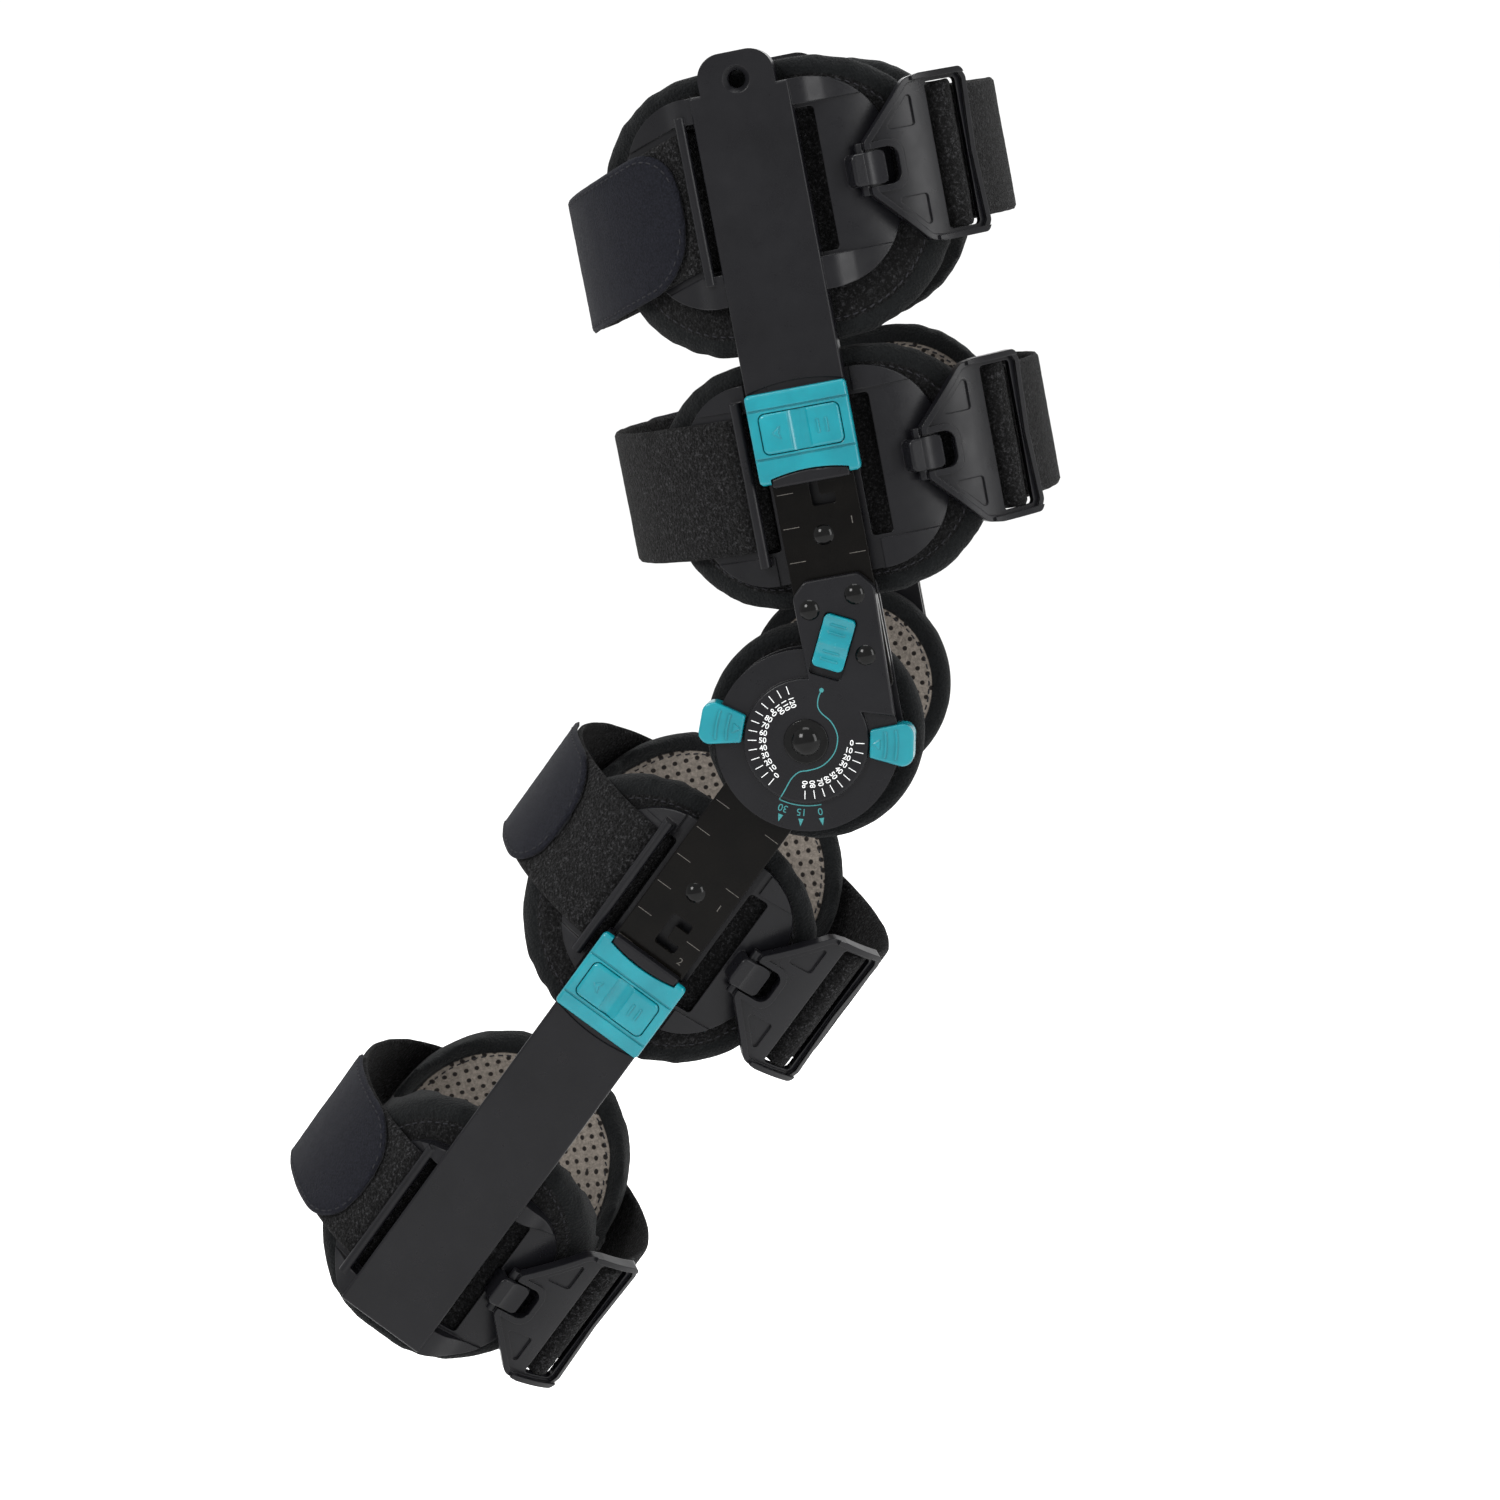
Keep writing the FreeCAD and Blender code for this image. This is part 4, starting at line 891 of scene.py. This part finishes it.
FLEX_ZERO = 219.0
EXT_ZERO = -12.0
FIGURE_SIZE = 2.85
FIGURE_END = 17.7
TICK = (18.4, 21.6)
PRINT_LIFT = 0.03
LINE_WIDTH = 0.42
TEAL_DOT = (9.2, 17.7)
TEAL_DOT_R = 0.85
TEAL_LINE = [(8.7, 17.0), (7.5, 15.1), (6.7, 12.0), (7.7, 9.2), (10.3, 5.9), (11.7, 2.0), (11.6, -1.5),
             (9.9, -5.5), (6.8, -8.5), (3.2, -10.3), (-1.2, -10.8), (-4.7, -10.8), (-8.0, -12.8),
             (-10.9, -16.2), (-13.3, -19.0)]
MARK_LENGTH = 6.0
MARK_WIDTH = 0.28
MARK_SIZE = 4.0


def dial_prints(side):
    level = COVER_FRONT + PRINT_LIFT
    white = Print(level, side)
    for zero, last, word in ((FLEX_ZERO, 120, "flexion"), (EXT_ZERO, 90, "extension")):
        for step in range(0, last + 1, 10):
            angle = zero - step
            white.stroke([polar(TICK[0], angle), polar(TICK[1], angle)], 0.30)
            seen = math.radians(angle if side == "lat" else 180 - angle)
            if math.cos(seen) < 0:
                seen += math.pi
            x, z = polar(FIGURE_END - 0.8 * len(str(step)), angle)
            figures(f"{word}_{step}_{side}", "thigh_frame", str(step), x, z, FIGURE_SIZE, seen, level,
                    MAT["print_white"], side, bold=0.03)
    white.done(f"dial_scales_{side}", "thigh_frame", MAT["print_white"])

    teal = Print(level, side)
    teal.stroke(resample(TEAL_LINE, 0.8), LINE_WIDTH)
    dot = [polar(TEAL_DOT_R, 30 * i) for i in range(12)]
    teal.shape([(TEAL_DOT[0] + x, TEAL_DOT[1] + z) for x, z in dot])
    teal.done(f"dial_line_{side}", "thigh_frame", MAT["print_teal"])

    level = RING_FRONT + PRINT_LIFT
    low = Print(level, side)
    low.stroke([polar(23.5, -125.0), polar(24.1, -125.6), polar(24.4, -125)]
               + [polar(24.4, a) for a in range(-124, -87, 2)], LINE_WIDTH)
    for degrees, label in ((-90, "0"), (-105, "15"), (-120, "30")):
        low.shape([polar(32.2, degrees), polar(29.4, degrees - 1.9), polar(29.4, degrees + 1.9)])
        x, z = polar(26.8, degrees)
        seen = math.radians(degrees - 90 if side == "lat" else 90 - degrees)
        figures(f"dial_{label}_{side}", "thigh_frame", label, x, z, 3.8, seen, level, MAT["print_teal"], side)
    low.done(f"dial_pointers_{side}", "thigh_frame", MAT["print_teal"])


def bar_marks(side):
    edge = BAR_WIDTH / 2 - 1.0
    right = 1 if side == "lat" else -1
    inner = edge - MARK_LENGTH
    level = THIGH_BAR_FRONT + PRINT_LIFT
    marks = Print(level, side)
    for z in (65.0, 77.7, 90.4):
        marks.stroke([(THIGH_AXIS_X - right * edge, z), (THIGH_AXIS_X - right * inner, z)], MARK_WIDTH)
    marks.stroke([(THIGH_AXIS_X + right * edge, 65.0), (THIGH_AXIS_X + right * inner, 65.0)], MARK_WIDTH)
    marks.done(f"thigh_marks_{side}", "thigh_frame", MAT["engraved"])
    figures(f"thigh_inch_1_{side}", "thigh_frame", "1", THIGH_AXIS_X + right * 11.4, 77.0, MARK_SIZE, 0.0,
            level, MAT["engraved"], side)

    level = CALF_BAR_FRONT + PRINT_LIFT
    marks = Print(level, side, calf=True)
    for z in (39.6, 52.3, 65.0, 77.7, 90.4, 103.1):
        marks.stroke([(-right * edge, -z), (-right * inner, -z)], MARK_WIDTH)
    for z in (39.6, 65.0, 90.4):
        marks.stroke([(right * edge, -z), (right * inner, -z)], MARK_WIDTH)
    marks.done(f"calf_marks_{side}", "calf_frame", MAT["engraved"])
    for number, z in ((1, 73.0), (2, 98.4)):
        figures(f"calf_inch_{number}_{side}", "calf_frame", str(number), right * 10.6, -z, MARK_SIZE, 0.0,
                level, MAT["engraved"], side, calf=True)


# ---------------------------------------------------------------- studio
CAMERA_AZIMUTH = math.radians(8.9)
CAMERA_ELEVATION = math.radians(7.7)
CAMERA_ROLL = math.radians(-11.0)
CAMERA_DISTANCE = 1.488
CAMERA_SHIFT = (0.0214, 0.00415)
CAMERA_LENS = 96.7
LATERAL_PLANE = -0.077
FLOOR_Z = -0.352
FLOOR_REACH = 12
WORLD_STRENGTH = 1.08


def camera():
    a, e, r = CAMERA_AZIMUTH, CAMERA_ELEVATION, CAMERA_ROLL
    back = Vector((math.sin(a) * math.cos(e), -math.cos(a) * math.cos(e), math.sin(e)))
    right = Vector((math.cos(a), math.sin(a), 0))
    up = back.cross(right)
    across = right * math.cos(r) + up * math.sin(r)
    above = up * math.cos(r) - right * math.sin(r)
    aim = Vector((0, LATERAL_PLANE, 0)) - across * CAMERA_SHIFT[0] - above * CAMERA_SHIFT[1]
    place = aim + back * CAMERA_DISTANCE
    data = bpy.data.cameras.new("view")
    data.lens = CAMERA_LENS
    data.sensor_width = 36
    data.clip_end = 30
    obj = bpy.data.objects.new("view", data)
    bpy.context.scene.collection.objects.link(obj)
    turn = Matrix((across, above, back)).transposed().to_4x4()
    obj.matrix_world = Matrix.Translation(place) @ turn
    bpy.context.scene.camera = obj


def area_light(name, place, aim, size, power, tint=(1, 1, 1)):
    data = bpy.data.lights.new(name, "AREA")
    data.shape = "RECTANGLE"
    data.size, data.size_y = size
    data.energy = power
    data.color = tint
    obj = bpy.data.objects.new(name, data)
    bpy.context.scene.collection.objects.link(obj)
    obj.location = place
    obj.rotation_euler = (Vector(aim) - Vector(place)).to_track_quat("-Z", "Y").to_euler()


def studio():
    r = FLOOR_REACH
    corners = [(-r, -r, FLOOR_Z), (r, -r, FLOOR_Z), (r, r, FLOOR_Z), (-r, r, FLOOR_Z)]
    floor = mesh_object("studio_floor", corners, [(0, 1, 2, 3)], smooth=False)
    k = Look("studio_floor", (0.93, 0.93, 0.925), 0.9, Specular_IOR_Level=0.1)
    k.colour(k.ramp(k.noise(1.5, 1), (0.3, (0.945, 0.945, 0.943)), (0.8, (0.955, 0.955, 0.953))))
    floor.data.materials.append(k.mat)
    world = bpy.data.worlds.new("studio")
    world.use_nodes = True
    world.node_tree.nodes["Background"].inputs["Color"].default_value = (1, 1, 1, 1)
    world.node_tree.nodes["Background"].inputs["Strength"].default_value = WORLD_STRENGTH
    bpy.context.scene.world = world
    bpy.context.scene.view_settings.view_transform = "Standard"
    area_light("key", (-0.9, -1.5, 1.3), (0, 0, 0), (0.7, 0.7), 40, (1, 0.99, 0.98))
    area_light("fill", (1.7, -1.0, 0.3), (0, 0, 0), (0.5, 1.5), 22)
    area_light("back", (0.3, 1.5, 1.2), (0, 0, 0), (1.4, 1.0), 20)
    area_light("top", (0.2, 0.0, 1.8), (0, 0, 0), (1.0, 1.0), 22)


dress_cad()
for cuff_name, cuff in CUFFS.items():
    for which in ("lat", "med"):
        pad_piece(cuff_name, cuff, which)
    strap_pieces(cuff_name, cuff)
for which in ("lat", "med"):
    condyle_piece(which)
    dial_prints(which)
    bar_marks(which)
studio()
camera()

bpy.context.view_layer.update()
